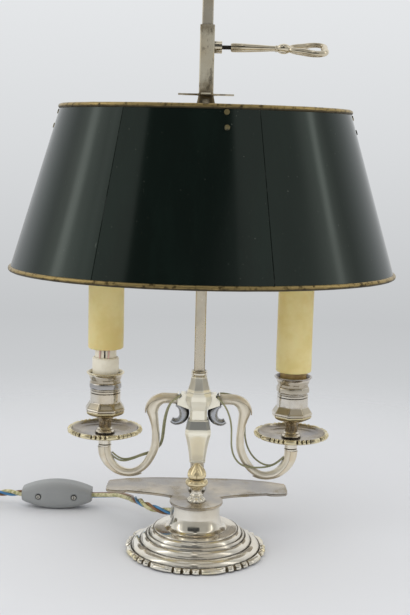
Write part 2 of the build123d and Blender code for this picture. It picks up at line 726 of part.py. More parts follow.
strap_z = shade_top_z - bead_r - strap_thick - 0.4
slider_hole = square_bar(rod_half + fit_gap, rod_corner, strap_z - 5, slider_top_z + 1)
strap_dirs = [0.0, 90.0 + strap_turn, 180.0, 270.0 + strap_turn]


def straps():
    """Four flat straps from the slider to the shade, each with a tab down the inside."""
    outer = oval_cone(shade_wall, strap_z - strap_drop, strap_z + strap_thick)
    inner = oval_cone(shade_wall + strap_thick, strap_z - strap_drop - 0.01, strap_z + 0.01)
    skin = outer - inner
    solid = square_bar(slider_half + 3.5, 1.5, strap_z, strap_z + strap_thick)
    for angle in strap_dirs:
        reach = shade_top_half_x + 20
        bar = block(0, reach, -strap_w / 2, strap_w / 2, strap_z - strap_drop, strap_z + strap_thick)
        bar = Rot(0, 0, angle) * bar
        flat = Rot(0, 0, angle) * block(0, reach, -strap_w / 2, strap_w / 2, strap_z, strap_z + strap_thick)
        solid = solid + (flat & outer) + (bar & skin)
    neck = faceted([(strap_z + strap_thick - 0.2, slider_half + 3.2, 0.2),
                    (slider_bottom_z - cross_thick, slider_half + 0.2, 0.2)])
    windows = block(-30, 30, -3.2, 3.2, strap_z + 3.0, slider_bottom_z - cross_thick - 3.0)
    neck = neck - windows - Rot(0, 0, 90) * windows
    return solid + neck - slider_hole


def cross():
    low = slider_bottom_z - cross_thick
    bar = block(-cross_half, cross_half, -cross_w / 2, cross_w / 2, low, slider_bottom_z)
    return bar + Rot(0, 0, 90) * bar + square_bar(slider_half + 1.5, 1.0, low, slider_bottom_z) - slider_hole


def slider():
    body = square_bar(slider_half, 0.9, slider_bottom_z, slider_top_z)
    sideways = Plane(origin=(0, 0, boss_z), z_dir=(1, 0, 0))
    boss = sideways * Cylinder(boss_r, boss_reach, align=(Align.CENTER, Align.CENTER, Align.MIN))
    bore = sideways * Cylinder(screw_r + fit_gap, 2 * boss_reach + 1)
    return body + boss - slider_hole - bore


def wall_point(angle, z):
    """Where a strap's rivet sits on the outside of the shade, and the way it points."""
    share = (z - shade_bottom_z) / (shade_top_z - shade_bottom_z)
    a = shade_bottom_half_x + share * (shade_top_half_x - shade_bottom_half_x)
    b = shade_bottom_half_y + share * (shade_top_half_y - shade_bottom_half_y)
    c, s = cos(radians(angle)), sin(radians(angle))
    reach = 1 / hypot(c / a, s / b)
    slope_a = (shade_bottom_half_x - shade_top_half_x) / (shade_top_z - shade_bottom_z)
    normal = Vector(c * reach / a ** 2, s * reach / b ** 2, slope_a * c * c / a + slope_a * 0.72 * s * s / b)
    return Vector(c * reach, s * reach, z), normal.normalized()


def rivets():
    heads = []
    for angle in strap_dirs:
        for row in range(2):
            point, normal = wall_point(angle, shade_top_z - rivet_first - row * rivet_pitch)
            plane = Plane(origin=point + normal * 0.05, z_dir=normal)
            heads.append(plane * Cylinder(rivet_r, rivet_h, align=(Align.CENTER, Align.CENTER, Align.MIN)))
    return heads


keep("carrier_cross", cross())
keep("shade_straps", straps())
keep("slider_tube", slider())
keep("shade_rivets", *rivets())


def clamp_screw():
    """Thread, tapered shank, bead and an open bow, along +X."""
    tip = rod_half + snug
    bead_start = key_bead_x - key_bead_half
    bow_x = key_bead_x + key_bead_half + bow_half_long - 0.6
    bow_start = bow_x - bow_half_long
    shaft = revolve(outline(
        (tip, 0), (tip, screw_r - 0.4), (tip + 0.5, screw_r), (screw_end, screw_r), (screw_end, shank_r),
        (bead_start, shank_r - 0.6), (bead_start, shank_r + 0.9), (bead_start + 1.5, shank_r + 0.9),
        (key_bead_x, key_bead_r, 6.0), (key_bead_x + key_bead_half - 1.5, shank_r - 0.3, 5.0),
        (bow_start, bow_rod_r - 0.5), (bow_start, 0)), Axis.X)
    half_loop = Edge.make_ellipse(bow_half_long, bow_half_wide, start_angle=0, end_angle=180)
    section = Plane(origin=(bow_x + bow_half_long, 0, 0), z_dir=(0, 1, 0)) * Circle(bow_rod_r)
    half_bow = sweep(section, path=Pos(bow_x, 0, 0) * half_loop)
    key = shaft + (half_bow + mirror(half_bow, about=Plane.XZ))
    return Pos(0, 0, boss_z) * Rot(bow_tilt, 0, 0) * key


keep("clamp_screw", clamp_screw())


# ---------------------------------------------------------------- lead switch
def switch_outline(inset, y_low, y_high):
    """The lens-shaped side view of the switch, standing on its edge."""
    half_long = switch_half_long - inset
    half_high = switch_half_high - inset
    end = switch_end_half - inset
    edges = [ThreePointArc((-half_long, end), (0, half_high), (half_long, end)),
             Line((half_long, end), (half_long, -end)),
             ThreePointArc((half_long, -end), (0, -half_high), (-half_long, -end)),
             Line((-half_long, -end), (-half_long, end))]
    face = Plane(origin=(0, y_high, 0), x_dir=(1, 0, 0), z_dir=(0, -1, 0)) * make_face(edges)
    return extrude(face, y_high - y_low)


def at_switch(solid):
    return Pos(switch_x, switch_y, switch_half_high) * solid


half_thick = switch_thick / 2
switch_end_hole = Rot(0, 90, 0) * Cylinder(cord_d / 2 + snug, 2 * switch_half_long + 2)
rocker_y = half_thick - 4.2
rocker_slot = block(-rocker_half_long - rocker_gap, rocker_half_long + rocker_gap, rocker_y - 4.6,
                    half_thick + 1, -rocker_half_high - rocker_gap, rocker_half_high + rocker_gap)


def rounded_half(y_low, y_high):
    """One moulded half, with its outer edge eased."""
    body = switch_outline(0, y_low, y_high)
    outer = y_low if y_low < 0 else y_high
    rim = body.edges().filter_by(lambda e: abs((e @ 0.5).Y - outer) < 0.01)
    return chamfer(rim, switch_edge)


def switch_front():
    body = rounded_half(-half_thick, 0)
    body = body - switch_outline(switch_wall, -half_thick + switch_wall + switch_recess, 0)
    for x in (-switch_screw_x, switch_screw_x):
        pillar = Pos(x, 0, 0) * Rot(90, 0, 0) * Cylinder(switch_screw_r + 1.6, half_thick - 1.0,
                                                         align=(Align.CENTER, Align.CENTER, Align.MIN))
        recess = Pos(x, -half_thick + switch_recess, 0) * Rot(90, 0, 0) * Cylinder(
            switch_screw_r + 0.6, switch_recess + 1, align=(Align.CENTER, Align.CENTER, Align.MIN))
        shaft = Pos(x, 0, 0) * Rot(90, 0, 0) * Cylinder(1.5, 2 * half_thick)
        body = body + pillar - recess - shaft
    return body - switch_end_hole


def switch_back():
    body = rounded_half(0, half_thick) - switch_outline(switch_wall, 0, half_thick - switch_wall)
    cheeks = block(-5, 5, rocker_y - 3.0, half_thick - 1.0, -rocker_half_high - 3.2, rocker_half_high + 3.2)
    pin = Pos(0, rocker_y, 0) * Cylinder(rocker_pin_r + fit_gap, 2 * rocker_half_high + 4.0)
    for x in (-switch_screw_x, switch_screw_x):
        pillar = Pos(x, half_thick - 1.0, 0) * Rot(90, 0, 0) * Cylinder(
            switch_screw_r + 0.6, half_thick - 1.0, align=(Align.CENTER, Align.CENTER, Align.MIN))
        body = body + pillar
    shafts = [Pos(x, 0, 0) * Rot(90, 0, 0) * Cylinder(1.25, 12.0) for x in (-switch_screw_x, switch_screw_x)]
    return body + cheeks - rocker_slot - pin - shafts[0] - shafts[1] - switch_end_hole


def switch_rocker():
    """A rocker with two slopes on a cross pin, tipped to its rest side."""
    top = half_thick - rocker_y + 2.4
    low = -2.4
    shape = make_face(Polyline(
        (-rocker_half_long, low + 2.0), (-5.0, low), (5.0, low), (rocker_half_long, low + 2.0),
        (rocker_half_long, top), (0, top - 1.5), (-rocker_half_long, top), close=True))
    body = extrude(shape, rocker_half_high, both=True)
    pin = Cylinder(rocker_pin_r, 2 * rocker_half_high + 3.4)
    return Pos(0, rocker_y, 0) * Rot(0, 0, -rocker_tilt) * (body + pin)


def switch_screw(x):
    head = Pos(x, -half_thick + switch_recess, 0) * Rot(90, 0, 0) * Cylinder(
        switch_screw_r, 1.3, align=(Align.CENTER, Align.CENTER, Align.MIN))
    shaft = Pos(x, 5.0, 0) * Rot(90, 0, 0) * Cylinder(
        1.2, half_thick - switch_recess + 5.0, align=(Align.CENTER, Align.CENTER, Align.MIN))
    slot = block(x - 3, x + 3, -half_thick - 2, -half_thick + switch_recess - 0.6, -0.35, 0.35)
    return head + shaft - slot


keep("switch_front", at_switch(switch_front()))
keep("switch_back", at_switch(switch_back()))
keep("switch_rocker", at_switch(switch_rocker()))
keep("switch_screws", *[at_switch(switch_screw(x)) for x in (-switch_screw_x, switch_screw_x)])


# ---------------------------------------------------------------- wires on the arms
ear_hole_z = hub_top_z - ear_hole_drop
left_wire_route = [
    (-ear_hole_x, -1.2, ear_hole_z), (-ear_hole_x - 0.1, -9.4, ear_hole_z), (-24.6, -10.6, 134.2),
    (-28.6, -8.2, 126.4), (-31.2, -6.4, 115.6), (-32.4, -3.4, 104.0), (-33.4, 0.6, 93.4),
    (-36.4, 5.0, 84.6), (-43.4, 6.6, 79.6),
    (-52.4, 4.8, 77.4), (-60.8, 2.2, 74.4), (-68.8, 0.6, 72.6), (-76.0, 0.0, 74.6),
    (-wire_end_x, 0.0, wire_end_z)]
right_wire_routes = [
    [(ear_hole_x, -1.2, ear_hole_z), (ear_hole_x + 0.1, -9.6, 137.2), (24.4, -10.0, 130.6),
     (29.0, -7.6, 120.4), (31.2, -5.6, 109.6), (31.4, -4.6, 99.0), (31.6, -4.8, 89.0),
     (34.4, -5.6, 79.6), (40.6, -5.8, 72.6),
     (49.4, -5.4, 70.4), (58.6, -4.4, 70.0), (67.8, -3.4, 71.0), (75.8, -1.8, 74.6),
     (wire_end_x, -0.9, wire_end_z)],
    [(ear_hole_x, 1.2, ear_hole_z), (ear_hole_x + 0.1, 9.4, ear_hole_z + 0.4), (26.0, 10.4, 140.6),
     (36.0, 6.6, 138.4), (43.8, 6.6, 131.4), (45.4, 7.0, 121.6), (44.2, 6.8, 111.0), (44.0, 6.6, 100.4),
     (45.8, 6.4, 89.6), (50.6, 6.2, 79.6), (57.8, 6.0, 72.6), (66.2, 5.6, 69.0), (74.0, 4.0, 71.2),
     (wire_end_x, 0.9, wire_end_z)]]


def twin(route, sign):
    return [(x + sign * 0.6, y + sign * 0.87, z) for x, y, z in route]


keep("wires_left", *[cord_tube(f"left wire {sign}", twin(left_wire_route, sign), wire_d) for sign in (-1, 1)])
keep("wires_right", *[
    cord_tube(f"right wire {number}", route, wire_d) for number, route in enumerate(right_wire_routes)])

# ---------------------------------------------------------------- mains cord, coil, tie and plug
exit_point = along_exit(drum_waist_r + grommet_flange - 1.0)
switch_right_x = switch_x + switch_half_long
switch_left_x = switch_x - switch_half_long
lamp_cord_route = [
    tuple(exit_point), tuple(along_exit(drum_waist_r + 15.0)), (-47.0, -15.5, 34.6), (-55.5, 0.5, 33.2),
    (-63.5, 20.0, 29.0), (-72.4, 40.6, 24.2), (-79.1, 54.0, 20.6), (-87.1, 63.3, 17.0), (-97.0, 69.1, 14.8),
    (switch_right_x - 0.5, switch_y, switch_half_high)]
coil_top = coil_y + coil_r
layer_z = [cord_d / 2, 3 * cord_d / 2]
wall_cord_route = [
    (switch_left_x + 0.5, switch_y, switch_half_high), (-190.0, 71.3, 14.3), (-205.0, 73.0, 13.0),
    (-221.0, 77.0, 9.5), (-238.0, 81.5, 5.5), (-252.0, 84.8, 3.8), (coil_x, coil_top, layer_z[0])]
plug_z = plug_half_t
tail_route = [
    (coil_x, coil_top, layer_z[1]), (-280.0, 86.3, 10.3), (-297.0, 83.5, 8.4), (-311.5, 74.0, 7.2),
    (plug_x, plug_y + 15.5, plug_z), (plug_x, plug_y, plug_z)]


def coil():
    """The outer shape of the wound cord."""
    outer = coil_r + cord_d / 2
    inner = coil_r - (coil_rows - 0.5) * coil_turn_pitch
    high = coil_layers * cord_d
    edge = cord_d / 2
    return turned((inner, edge), (inner + edge, 0, edge * -1), (outer - edge, 0), (outer, edge, -edge),
                  (outer, high - edge), (outer - edge, high, -edge), (inner + edge, high),
                  (inner, high - edge, -edge), x=coil_x, y=coil_y)


def tie():
    """A flat band round the coil's turns, on its near side."""
    middle = coil_r - (coil_rows - 1) * coil_turn_pitch / 2
    half_w = coil_rows * cord_d / 2 + 0.6
    high = coil_layers * cord_d
    y = coil_y - middle
    outer = block(-tie_w / 2, tie_w / 2, -half_w - tie_thick, half_w + tie_thick, 0, high + tie_thick)
    inner = block(-tie_w, tie_w, -half_w, half_w, -1, high + 0.2)
    return Pos(coil_x, y, 0) * (outer - inner)


def plug_body():
    relief = Plane(origin=(plug_x, plug_y, plug_z), z_dir=(0, -1, 0)) * Cone(
        cord_d / 2 + 0.6, relief_r, relief_h, align=(Align.CENTER, Align.CENTER, Align.MIN))
    back = plug_y - relief_h
    faces = []
    for share, w, t in ((0, 0.7, 0.86), (0.25, 0.95, 1.0), (0.8, 1.0, 1.0), (1.0, 0.92, 0.9)):
        plane = Plane(origin=(plug_x, back - share * plug_h, plug_z), x_dir=(1, 0, 0), z_dir=(0, -1, 0))
        faces.append(plane * RectangleRounded(2 * plug_half_w * w, 2 * plug_half_t * t, 4.0))
    body = loft(faces)
    solid = relief + body
    for x in (-pin_pitch / 2, pin_pitch / 2):
        solid = solid - along_plug(x, pin_root_h, pin_root_r + snug, 2 * pin_root_h)
    return solid


def along_plug(x, behind, radius, length):
    """A cylinder along a pin's axis, from a place behind the plug's front face."""
    front = plug_y - relief_h - plug_h
    return Pos(plug_x + x, front + behind, plug_z) * Rot(90, 0, 0) * Cylinder(
        radius, length, align=(Align.CENTER, Align.CENTER, Align.MIN))


def plug_pin(x):
    pin = along_plug(x, 0, pin_r, pin_h)
    tip = pin.edges().sort_by(Axis.Y)[:1]
    return fillet(tip, pin_r * 0.7) + along_plug(x, pin_root_h, pin_root_r, pin_root_h + pin_root_proud)


keep("cord_lamp_side", cord_tube("lamp cord", lamp_cord_route, cord_d))
keep("cord_wall_side", cord_tube("wall cord", wall_cord_route, cord_d), cord_tube("tail", tail_route, cord_d))
keep("cord_coil", coil())
keep("cord_tie", tie())
keep("plug_body", plug_body())
keep("plug_pins", plug_pin(-pin_pitch / 2), plug_pin(pin_pitch / 2))

for node, solid in nodes.items():
    export_step(solid, f"parts/{node}.step")
print(f"{len(nodes)} nodes")
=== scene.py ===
# %% [markdown]
# # A silver table lamp with two candle arms and an oval shade
# The measured solids of the lamp come in first, as a fixed frame. Every visible piece made below lies
# where its solid lies, so nothing is fitted afterwards. A lesson cell says what a piece is on the real
# lamp, and the code cell after it makes the piece and prints what it made.

# %% Load the measured frame
from math import asin, cos, degrees, hypot, pi, radians, sin, sqrt

import bmesh
import bpy
from mathutils import Matrix, Vector, noise
from mathutils.geometry import delaunay_2d_cdt


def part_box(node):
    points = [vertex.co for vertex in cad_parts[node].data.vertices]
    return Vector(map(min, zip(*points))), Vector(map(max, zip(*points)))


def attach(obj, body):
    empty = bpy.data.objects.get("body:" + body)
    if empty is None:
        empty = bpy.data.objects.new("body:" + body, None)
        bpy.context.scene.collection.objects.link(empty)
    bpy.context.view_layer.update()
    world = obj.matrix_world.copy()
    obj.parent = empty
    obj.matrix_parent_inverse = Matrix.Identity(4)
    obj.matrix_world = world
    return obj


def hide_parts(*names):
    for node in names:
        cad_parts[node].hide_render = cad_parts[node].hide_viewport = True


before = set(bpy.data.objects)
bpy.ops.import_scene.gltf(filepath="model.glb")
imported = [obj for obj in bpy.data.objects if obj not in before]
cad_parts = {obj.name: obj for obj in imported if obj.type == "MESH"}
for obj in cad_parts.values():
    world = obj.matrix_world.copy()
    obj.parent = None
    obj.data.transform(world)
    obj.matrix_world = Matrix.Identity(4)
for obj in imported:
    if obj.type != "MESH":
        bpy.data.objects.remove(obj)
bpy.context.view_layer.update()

TURN = 2 * pi
METRES = 0.001          # lengths below are in millimetres, and meshes are in metres
EAST, BACK, UP = Vector((1, 0, 0)), Vector((0, 1, 0)), Vector((0, 0, 1))
SIDES = {"left": -1, "right": 1}
scene = bpy.context.scene


def span(node):
    """Lowest and highest corner of a solid, in millimetres."""
    low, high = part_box(node)
    return Vector(low) * 1000, Vector(high) * 1000


def held(value):
    """The value, kept between 0 and 1."""
    return min(max(value, 0), 1)


def circle(middle, first, second, radius, sides):
    """Points round a middle, in the plane of two directions that are square to each other."""
    return [middle + (first * cos(TURN * i / sides) + second * sin(TURN * i / sides)) * radius
            for i in range(sides)]


def seat(node):
    """The place under the middle of a solid, in the plane through stem and candles."""
    low, high = span(node)
    return Vector((0.5 * (low.x + high.x), 0, low.z))


foot_low, foot_high = span("foot")
FOOT_Y = 0.5 * (foot_low.y + foot_high.y)           # the foot's axis stands in front of the stem's
PAN_X = seat("pan_right").x

# %% [markdown]
# ## Writing a finish as sums
# A finish is a net of shader nodes. Wiring nodes by hand hides the idea, so a small class wraps one
# output of a node and lets Python's own signs add the next node: `wear * 0.5 + dust` makes two Math
# nodes. Colours and places go through Vector Math, because a Math node would turn a colour grey.
# Every other node comes from one method, which sets the node's settings first and its sockets next.

# %% Shader sums
FINISH = {}             # every material by its name
OCCLUSION_SAMPLES = 5


def paint(red, green, blue):
    """A colour given as it is seen on a screen, 0 to 255, in the linear values that shaders use."""
    shares = (red / 255, green / 255, blue / 255)
    return tuple(s / 12.92 if s < 0.04045 else ((s + 0.055) / 1.055) ** 2.4 for s in shares)


class Value:
    """A number, colour or place that one node hands to the next."""

    def __init__(self, finish, socket):
        self.finish = finish
        self.socket = socket

    def join(self, operation, first, second):
        wide = any(
            part.socket.type != "VALUE" if isinstance(part, Value) else isinstance(part, tuple)
            for part in (first, second))
        kind = "ShaderNodeVectorMath" if wide else "ShaderNodeMath"
        return self.finish.node(kind, {"operation": operation}, {0: first, 1: second})

    def __add__(self, other):
        return self.join("ADD", self, other)

    __radd__ = __add__

    def __sub__(self, other):
        return self.join("SUBTRACT", self, other)

    def __rsub__(self, other):
        return self.join("SUBTRACT", other, self)

    def __mul__(self, other):
        return self.join("MULTIPLY", self, other)


print("sums ready")

# %% [markdown]
# ## A finish
# The class below holds one material or world. It has a method for each idea that the finishes need: a
# cloudy pattern, a soft step, a band, a mix of two colours, the grooves of a shape, and bumps. So the
# finishes themselves can be read like a recipe, without a word about nodes.

# %% Finish
class Finish:
    """A material, or a world, whose nodes are written as sums."""

    def __init__(self, name, owner=None, target="Principled BSDF"):
        self.owner = owner or FINISH.setdefault(name, bpy.data.materials.new(name))
        self.owner.use_nodes = True
        self.tree = self.owner.node_tree
        self.shader = self.tree.nodes[target]
        self.place = self.node("ShaderNodeTexCoord", out="Object")

    def node(self, kind, settings=None, sockets=None, out=0):
        """Adds a node: settings first, then a value or a link for each socket."""
        made = self.tree.nodes.new(kind)
        for name, setting in (settings or {}).items():
            if name == "stops":
                ramp = made.color_ramp.elements
                while len(ramp) < len(setting):
                    ramp.new(0.5)
                for element, (position, colour) in zip(ramp, setting):
                    element.position = position
                    element.color = (*colour, 1)
            else:
                setattr(made, name, setting)
        self.fill(made, sockets or {})
        return Value(self, made.outputs[out])

    def fill(self, made, sockets):
        for name, value in sockets.items():
            socket = made.inputs[name]
            if isinstance(value, Value):
                self.tree.links.new(value.socket, socket)
            elif socket.type == "VALUE":
                socket.default_value = value
            else:
                parts = tuple(value) if isinstance(value, tuple) else (value,) * 3
                socket.default_value = (*parts, 1) if socket.type == "RGBA" else parts

    def surface(self, sockets):
        """Sets the shader's own sockets."""
        self.fill(self.shader, sockets)

    def noise(self, scale, detail=3, rough=0.55, stretch=None):
        place = self.place * stretch if stretch else self.place
        return self.node("ShaderNodeTexNoise", None,
                         {"Vector": place, "Scale": scale, "Detail": detail, "Roughness": rough})

    def between(self, value, low, high):
        """0 below low, 1 above high, and a soft step from one to the other."""
        return self.node("ShaderNodeMapRange", {"interpolation_type": "SMOOTHSTEP"},
                         {"Value": value, "From Min": low, "From Max": high})

    def band(self, value, low, high, soft):
        """1 from low to high and 0 outside, with edges as soft as asked."""
        rising = self.between(value, low - soft, low + soft)
        return rising - self.between(value, high - soft, high + soft)

    def part(self, axis, place=None):
        """One of the three numbers of a place, by default the material's own."""
        return self.node("ShaderNodeSeparateXYZ", None, {0: place or self.place}, axis)

    def length(self, place):
        return self.node("ShaderNodeVectorMath", {"operation": "LENGTH"}, {0: place}, "Value")

    def mix(self, share, first, second):
        """The first colour where share is 0, and the second where it is 1."""
        return self.node("ShaderNodeMix", {"data_type": "RGBA"}, {0: share, 6: first, 7: second}, out=2)

    def hollow(self, reach, inside=False):
        """1 in grooves and corners, or on sharp ridges where inside is true; 0 on open faces."""
        return 1 - self.node("ShaderNodeAmbientOcclusion", {"inside": inside, "samples": OCCLUSION_SAMPLES},
                             {"Distance": reach}, "AO")

    def bump(self, height, distance, strength):
        return self.node("ShaderNodeBump", None,
                         {"Height": height, "Distance": distance, "Strength": strength})


print("finish class ready")

# %% [markdown]
# ## Old silver
# The plate is bright where hands and cloths reach it. In the grooves it stays brown and dull, and on
# the edges the yellow metal under the silver shows. A painted image could hold those places, but it
# would have to be drawn again for each piece. The ambient occlusion node finds the grooves by itself,
# and, turned to look inside the metal, it finds the ridges too, so one function serves every piece.

# %% Silver
WARM = paint(222, 206, 176)
STAIN = paint(150, 136, 110)
TARNISH = paint(44, 38, 30)
BRASS = paint(206, 170, 100)
GILT = (240, 228, 188)
BRIGHT = (244, 240, 229)


def from_axis(f, x, y):
    """Distance in metres from an upright axis at x, or at -x, and y, in millimetres."""
    mirrored = f.node("ShaderNodeVectorMath", {"operation": "ABSOLUTE"}, {0: f.place * (1, 0, 0)})
    return f.length(mirrored + f.place * (0, 1, 0) - (x * METRES, y * METRES, 0))


def silver(name, bright, tarnish, brassy, patina, stain, rough, groove,
           drawn=(1, 1, 0.25), dull=0.0, rim=None, rings=(0, ()), specks=0.0):
    """Worn silver plate. drawn stretches its fine marks, as on a bar that was pulled through a die; dull
    is the share that scatters light like a matt face; rim is an axis and a radius in millimetres, and how
    patchy the gilt is there; rings are a height and the bands above it, each with its lowest and highest
    place in millimetres, colour and share; specks is the share of tarnish in small spots."""
    f = Finish(name)
    clouds = f.between(f.noise(24, 4), 0.35, 0.7)
    blots = f.between(f.noise(38, 4, 0.55), 0.46, 0.72)
    fine = f.noise(160, 4, 0.6)
    grooves = f.between(f.hollow(groove * METRES), 0.1, 0.5)
    ridges = f.between(f.hollow(0.0009, inside=True), 0.25, 0.6)
    colour = f.mix(clouds * patina, paint(*bright), WARM)
    colour = f.mix(blots * stain, colour, STAIN)
    colour = f.mix(grooves * tarnish * f.between(fine, 0.15, 0.55), colour, TARNISH)
    if specks:
        spots = f.between(f.noise(150, 4, 0.7, (1, 1, 0.4)), 0.53, 0.64)
        colour = f.mix(spots * specks, colour, TARNISH)
    worn = ridges * brassy * f.between(f.noise(60, 3), 0.36, 0.6)
    colour = f.mix(worn, colour, BRASS)
    if rim:
        x, y, radius, patches = rim
        gilt = f.between(from_axis(f, x, y), (radius - 3.4) * METRES, (radius - 1.4) * METRES)
        colour = f.mix(gilt * f.between(f.noise(44, 3), *patches) * 0.85, colour, paint(*GILT))
    base, bands = rings
    for low, high, ring_colour, share in bands:
        inside = f.band(f.part("Z") + fine * 0.001, (base + low) * METRES, (base + high) * METRES, 0.0004)
        colour = f.mix(inside * share, colour, paint(*ring_colour))
    relief = f.noise(700, 2, 0.6, drawn) * 0.08 + f.noise(45, 2)
    f.surface({
        "Base Color": colour, "Metallic": 1 - dull - grooves * 0.2,
        "Roughness": rough + fine * 0.07 + grooves * 0.25 + blots * (stain * 0.3),
        "Normal": f.bump(relief, 0.0005, 0.3)})


print("silver function ready")

# %% [markdown]
# ## One silver for each kind of piece
# Each piece has aged in its own way: the plate is dull and stained, the drum is bright, the pans are
# dark with a gilt rim. A table holds those numbers side by side, which makes it easy to compare two
# pieces, and a loop calls the function for each row. Bands of other colours are given by their heights
# on the piece; the blue grey bands on the vase and the bell are a painted reflection of a dark room.

# %% Silver finishes
cup_low = span("cup_right")[0].z
vase_top = span("lower_vase")[1].z
bell_low, bell_high = (corner.z for corner in span("bell"))
acorn_low, neck_low = span("acorn_foot")[0].z, span("acorn_finial")[0].z
CUP_BANDS = (
    (15.6, 22.2, (206, 190, 140), 0.75), (25.2, 30.2, (160, 148, 116), 0.5),
    (43.7, 48.8, (156, 160, 170), 0.65), (49.1, 55.2, (168, 156, 134), 0.6), (56.8, 59.2, GILT, 0.5))
PLAIN_BANDS = (
    *CUP_BANDS[:2], (43.7, 48.8, (178, 170, 152), 0.5), CUP_BANDS[3], (56.8, 59.2, (150, 146, 150), 0.6))
# painted reflection: blue grey bands round the vase's shoulder and the bell, where the metal would mirror a
# dark room
STEM_PAINTED_REFLECTIONS = (
    (vase_top - 8.1, vase_top - 0.4, (80, 90, 99), 0.66),
    (bell_low + 3.5, bell_high - 0.8, (92, 94, 96), 0.4))
ACORN_BANDS = ((acorn_low - 1, neck_low + 6.6, BRIGHT, 0.85),)
BAR, LATHE = (1, 1, 0.03), (1, 1, 0.04)             # how far the fine marks are drawn out
SILVERS = (     # colour, tarnish, brassy edges, patina, stain, roughness, width of grooves, and the rest
    ("silver", BRIGHT, 0.9, 0.2, 0.4, 0.35, 0.14, 4, {"dull": 0.12}),
    ("vase_silver", (255, 251, 234), 0.9, 0.15, 0.1, 0.05, 0.14, 4, {"dull": 0.5, "rings": (0, STEM_PAINTED_REFLECTIONS)}),
    ("satin_silver", (246, 239, 222), 0.9, 0.3, 0.4, 0.25, 0.3, 4, {"dull": 0.25}),
    ("scroll_silver", (176, 180, 186), 0.9, 0.3, 0.15, 0.3, 0.2, 6, {}),
    ("screw_silver", (240, 230, 208), 0.9, 0.6, 0.7, 0.7, 0.06, 4, {}),
    ("slider_silver", (236, 229, 210), 1.0, 0.5, 0.9, 0.95, 0.1, 6, {"drawn": BAR, "specks": 0.55}),
    ("foot_silver", BRIGHT, 0.85, 0.75, 0.4, 0.2, 0.05, 2.8,
     {"dull": 0.12, "rim": (0, FOOT_Y, 64.5, (0.5, 0.66))}),
    ("notch_silver", (104, 92, 70), 1.0, 0.0, 0.6, 0.5, 0.34, 4, {}),
    ("drum_silver", BRIGHT, 0.9, 0.6, 0.4, 0.25, 0.06, 4, {"drawn": LATHE}),
    ("acorn_silver", (234, 218, 176), 1.0, 0.5, 0.4, 0.2, 0.12, 2.4,
     {"dull": 0.2, "rings": (0, ACORN_BANDS)}),
    ("plate_silver", (158, 153, 146), 0.8, 1.0, 0.6, 1.0, 0.06, 3, {"dull": 0.2}),
    ("cup_silver", (222, 218, 210), 1.0, 0.9, 0.7, 0.5, 0.1, 5, {"rings": (cup_low, CUP_BANDS)}),
    ("cup_plain", (222, 218, 210), 1.0, 0.9, 0.7, 0.5, 0.1, 5, {"rings": (cup_low, PLAIN_BANDS)}),
    ("pan_silver", (137, 133, 132), 0.6, 0.6, 0.5, 0.7, 0.1, 3,
     {"dull": 0.1, "rim": (PAN_X, 0, 33.8, (0.25, 0.45))}),
    ("rod_silver", (216, 210, 196), 0.7, 0.35, 0.6, 0.3, 0.24, 4, {"drawn": BAR}),
)
for *settings, rest in SILVERS:
    silver(*settings, **rest)
print("silver finishes:", ", ".join(FINISH))

# %% [markdown]
# ## Enamel, gilt and dark brass
# The shade is sheet steel under a green black enamel. Its gloss is a clear coat over a slightly
# duller colour, with wiped streaks, specks of dust and a few light scratches. The rolled edges were
# gilded and are rubbed back to dark metal in patches, and the lower half of each bead carries painted
# shade. A dark line painted along each fold of the sheet is a painted reflection. The straps inside
# were never polished.

# %% Shade finishes
def enamel(name):
    """Glossy enamel with wiped streaks, dust and a few scratches."""
    f = Finish(name)
    streaks = f.between(f.noise(34, 4, 0.6, (1, 1, 0.16)), 0.42, 0.72)
    haze = f.between(f.noise(9, 3, 0.5, (1, 1, 0.4)), 0.4, 0.7)
    dust = f.between(f.noise(620, 1), 0.775, 0.8)
    scratch = f.between(f.noise(95, 2, 0.5, (1, 1, 0.05)), 0.755, 0.77)
    colour = f.mix(streaks * 0.5, paint(8, 15, 11), paint(14, 25, 20))
    colour = f.mix(dust * 0.4, colour, paint(110, 112, 102))
    colour = f.mix(scratch * 0.4, colour, paint(100, 104, 96))
    sag = f.noise(14, 2, 0.4, (1, 1, 0.3))
    peel = f.noise(240, 2)
    f.surface({
        "Base Color": colour, "Roughness": 0.12 + haze * 0.16, "Coat Weight": 0.25 - dust * 0.2,
        "Coat Roughness": 0.05, "Specular IOR Level": 0.55, "Specular Tint": (0.82, 1.0, 0.93),
        "Normal": f.bump(sag + peel * 0.02, 0.0012, 0.4)})


def rubbed_gilt(name, middle):
    """Gilt on a bead whose lower half is painted dark, a painted shade for the side that faces down; middle
    is the height of its middle.
    """
    f = Finish(name)
    wear = f.between(f.noise(190, 5, 0.65), 0.5, 0.66)
    # painted shade: the lower half of the bead, which faces down, is darkened by height
    under = 1 - f.between(f.part("Z") + f.noise(160, 3) * 0.0016,
                          (middle - 0.2) * METRES, (middle + 1.4) * METRES)
    colour = f.mix(wear * 0.9, paint(176, 154, 103), paint(70, 58, 36))
    colour = f.mix(under * 0.9, colour, paint(44, 38, 26))
    f.surface({
        "Base Color": colour, "Metallic": 0.95 - under * 0.3, "Roughness": 0.3 + under * 0.15 + wear * 0.1,
        "Normal": f.bump(f.noise(420, 3), 0.0003, 0.4)})


def dark_brass(name, base, blotch, share):
    """Brass that was never polished, with blotches of a second colour."""
    f = Finish(name)
    spots = f.between(f.noise(130, 4), 0.5, 0.62) * share
    f.surface({
        "Base Color": f.mix(spots, base, blotch), "Metallic": 0.95 - spots * 0.8,
        "Roughness": 0.36 + spots * 0.2, "Normal": f.bump(f.noise(500, 3), 0.0003, 0.4)})


shell_low, shell_high = span("shade_shell")
enamel("enamel")
rubbed_gilt("gilt_low", shell_low.z)
rubbed_gilt("gilt_high", shell_high.z)
dark_brass("strap", paint(120, 108, 84), paint(48, 42, 32), 0.8)
dark_brass("rivet", paint(150, 138, 100), paint(30, 36, 28), 0.95)
# painted reflection: a nearly black line for the folds of the shade, where the bent gloss would mirror the
# dark room
dark_brass("crease", paint(16, 22, 18), paint(8, 12, 10), 0.9)
print("shade finishes made")

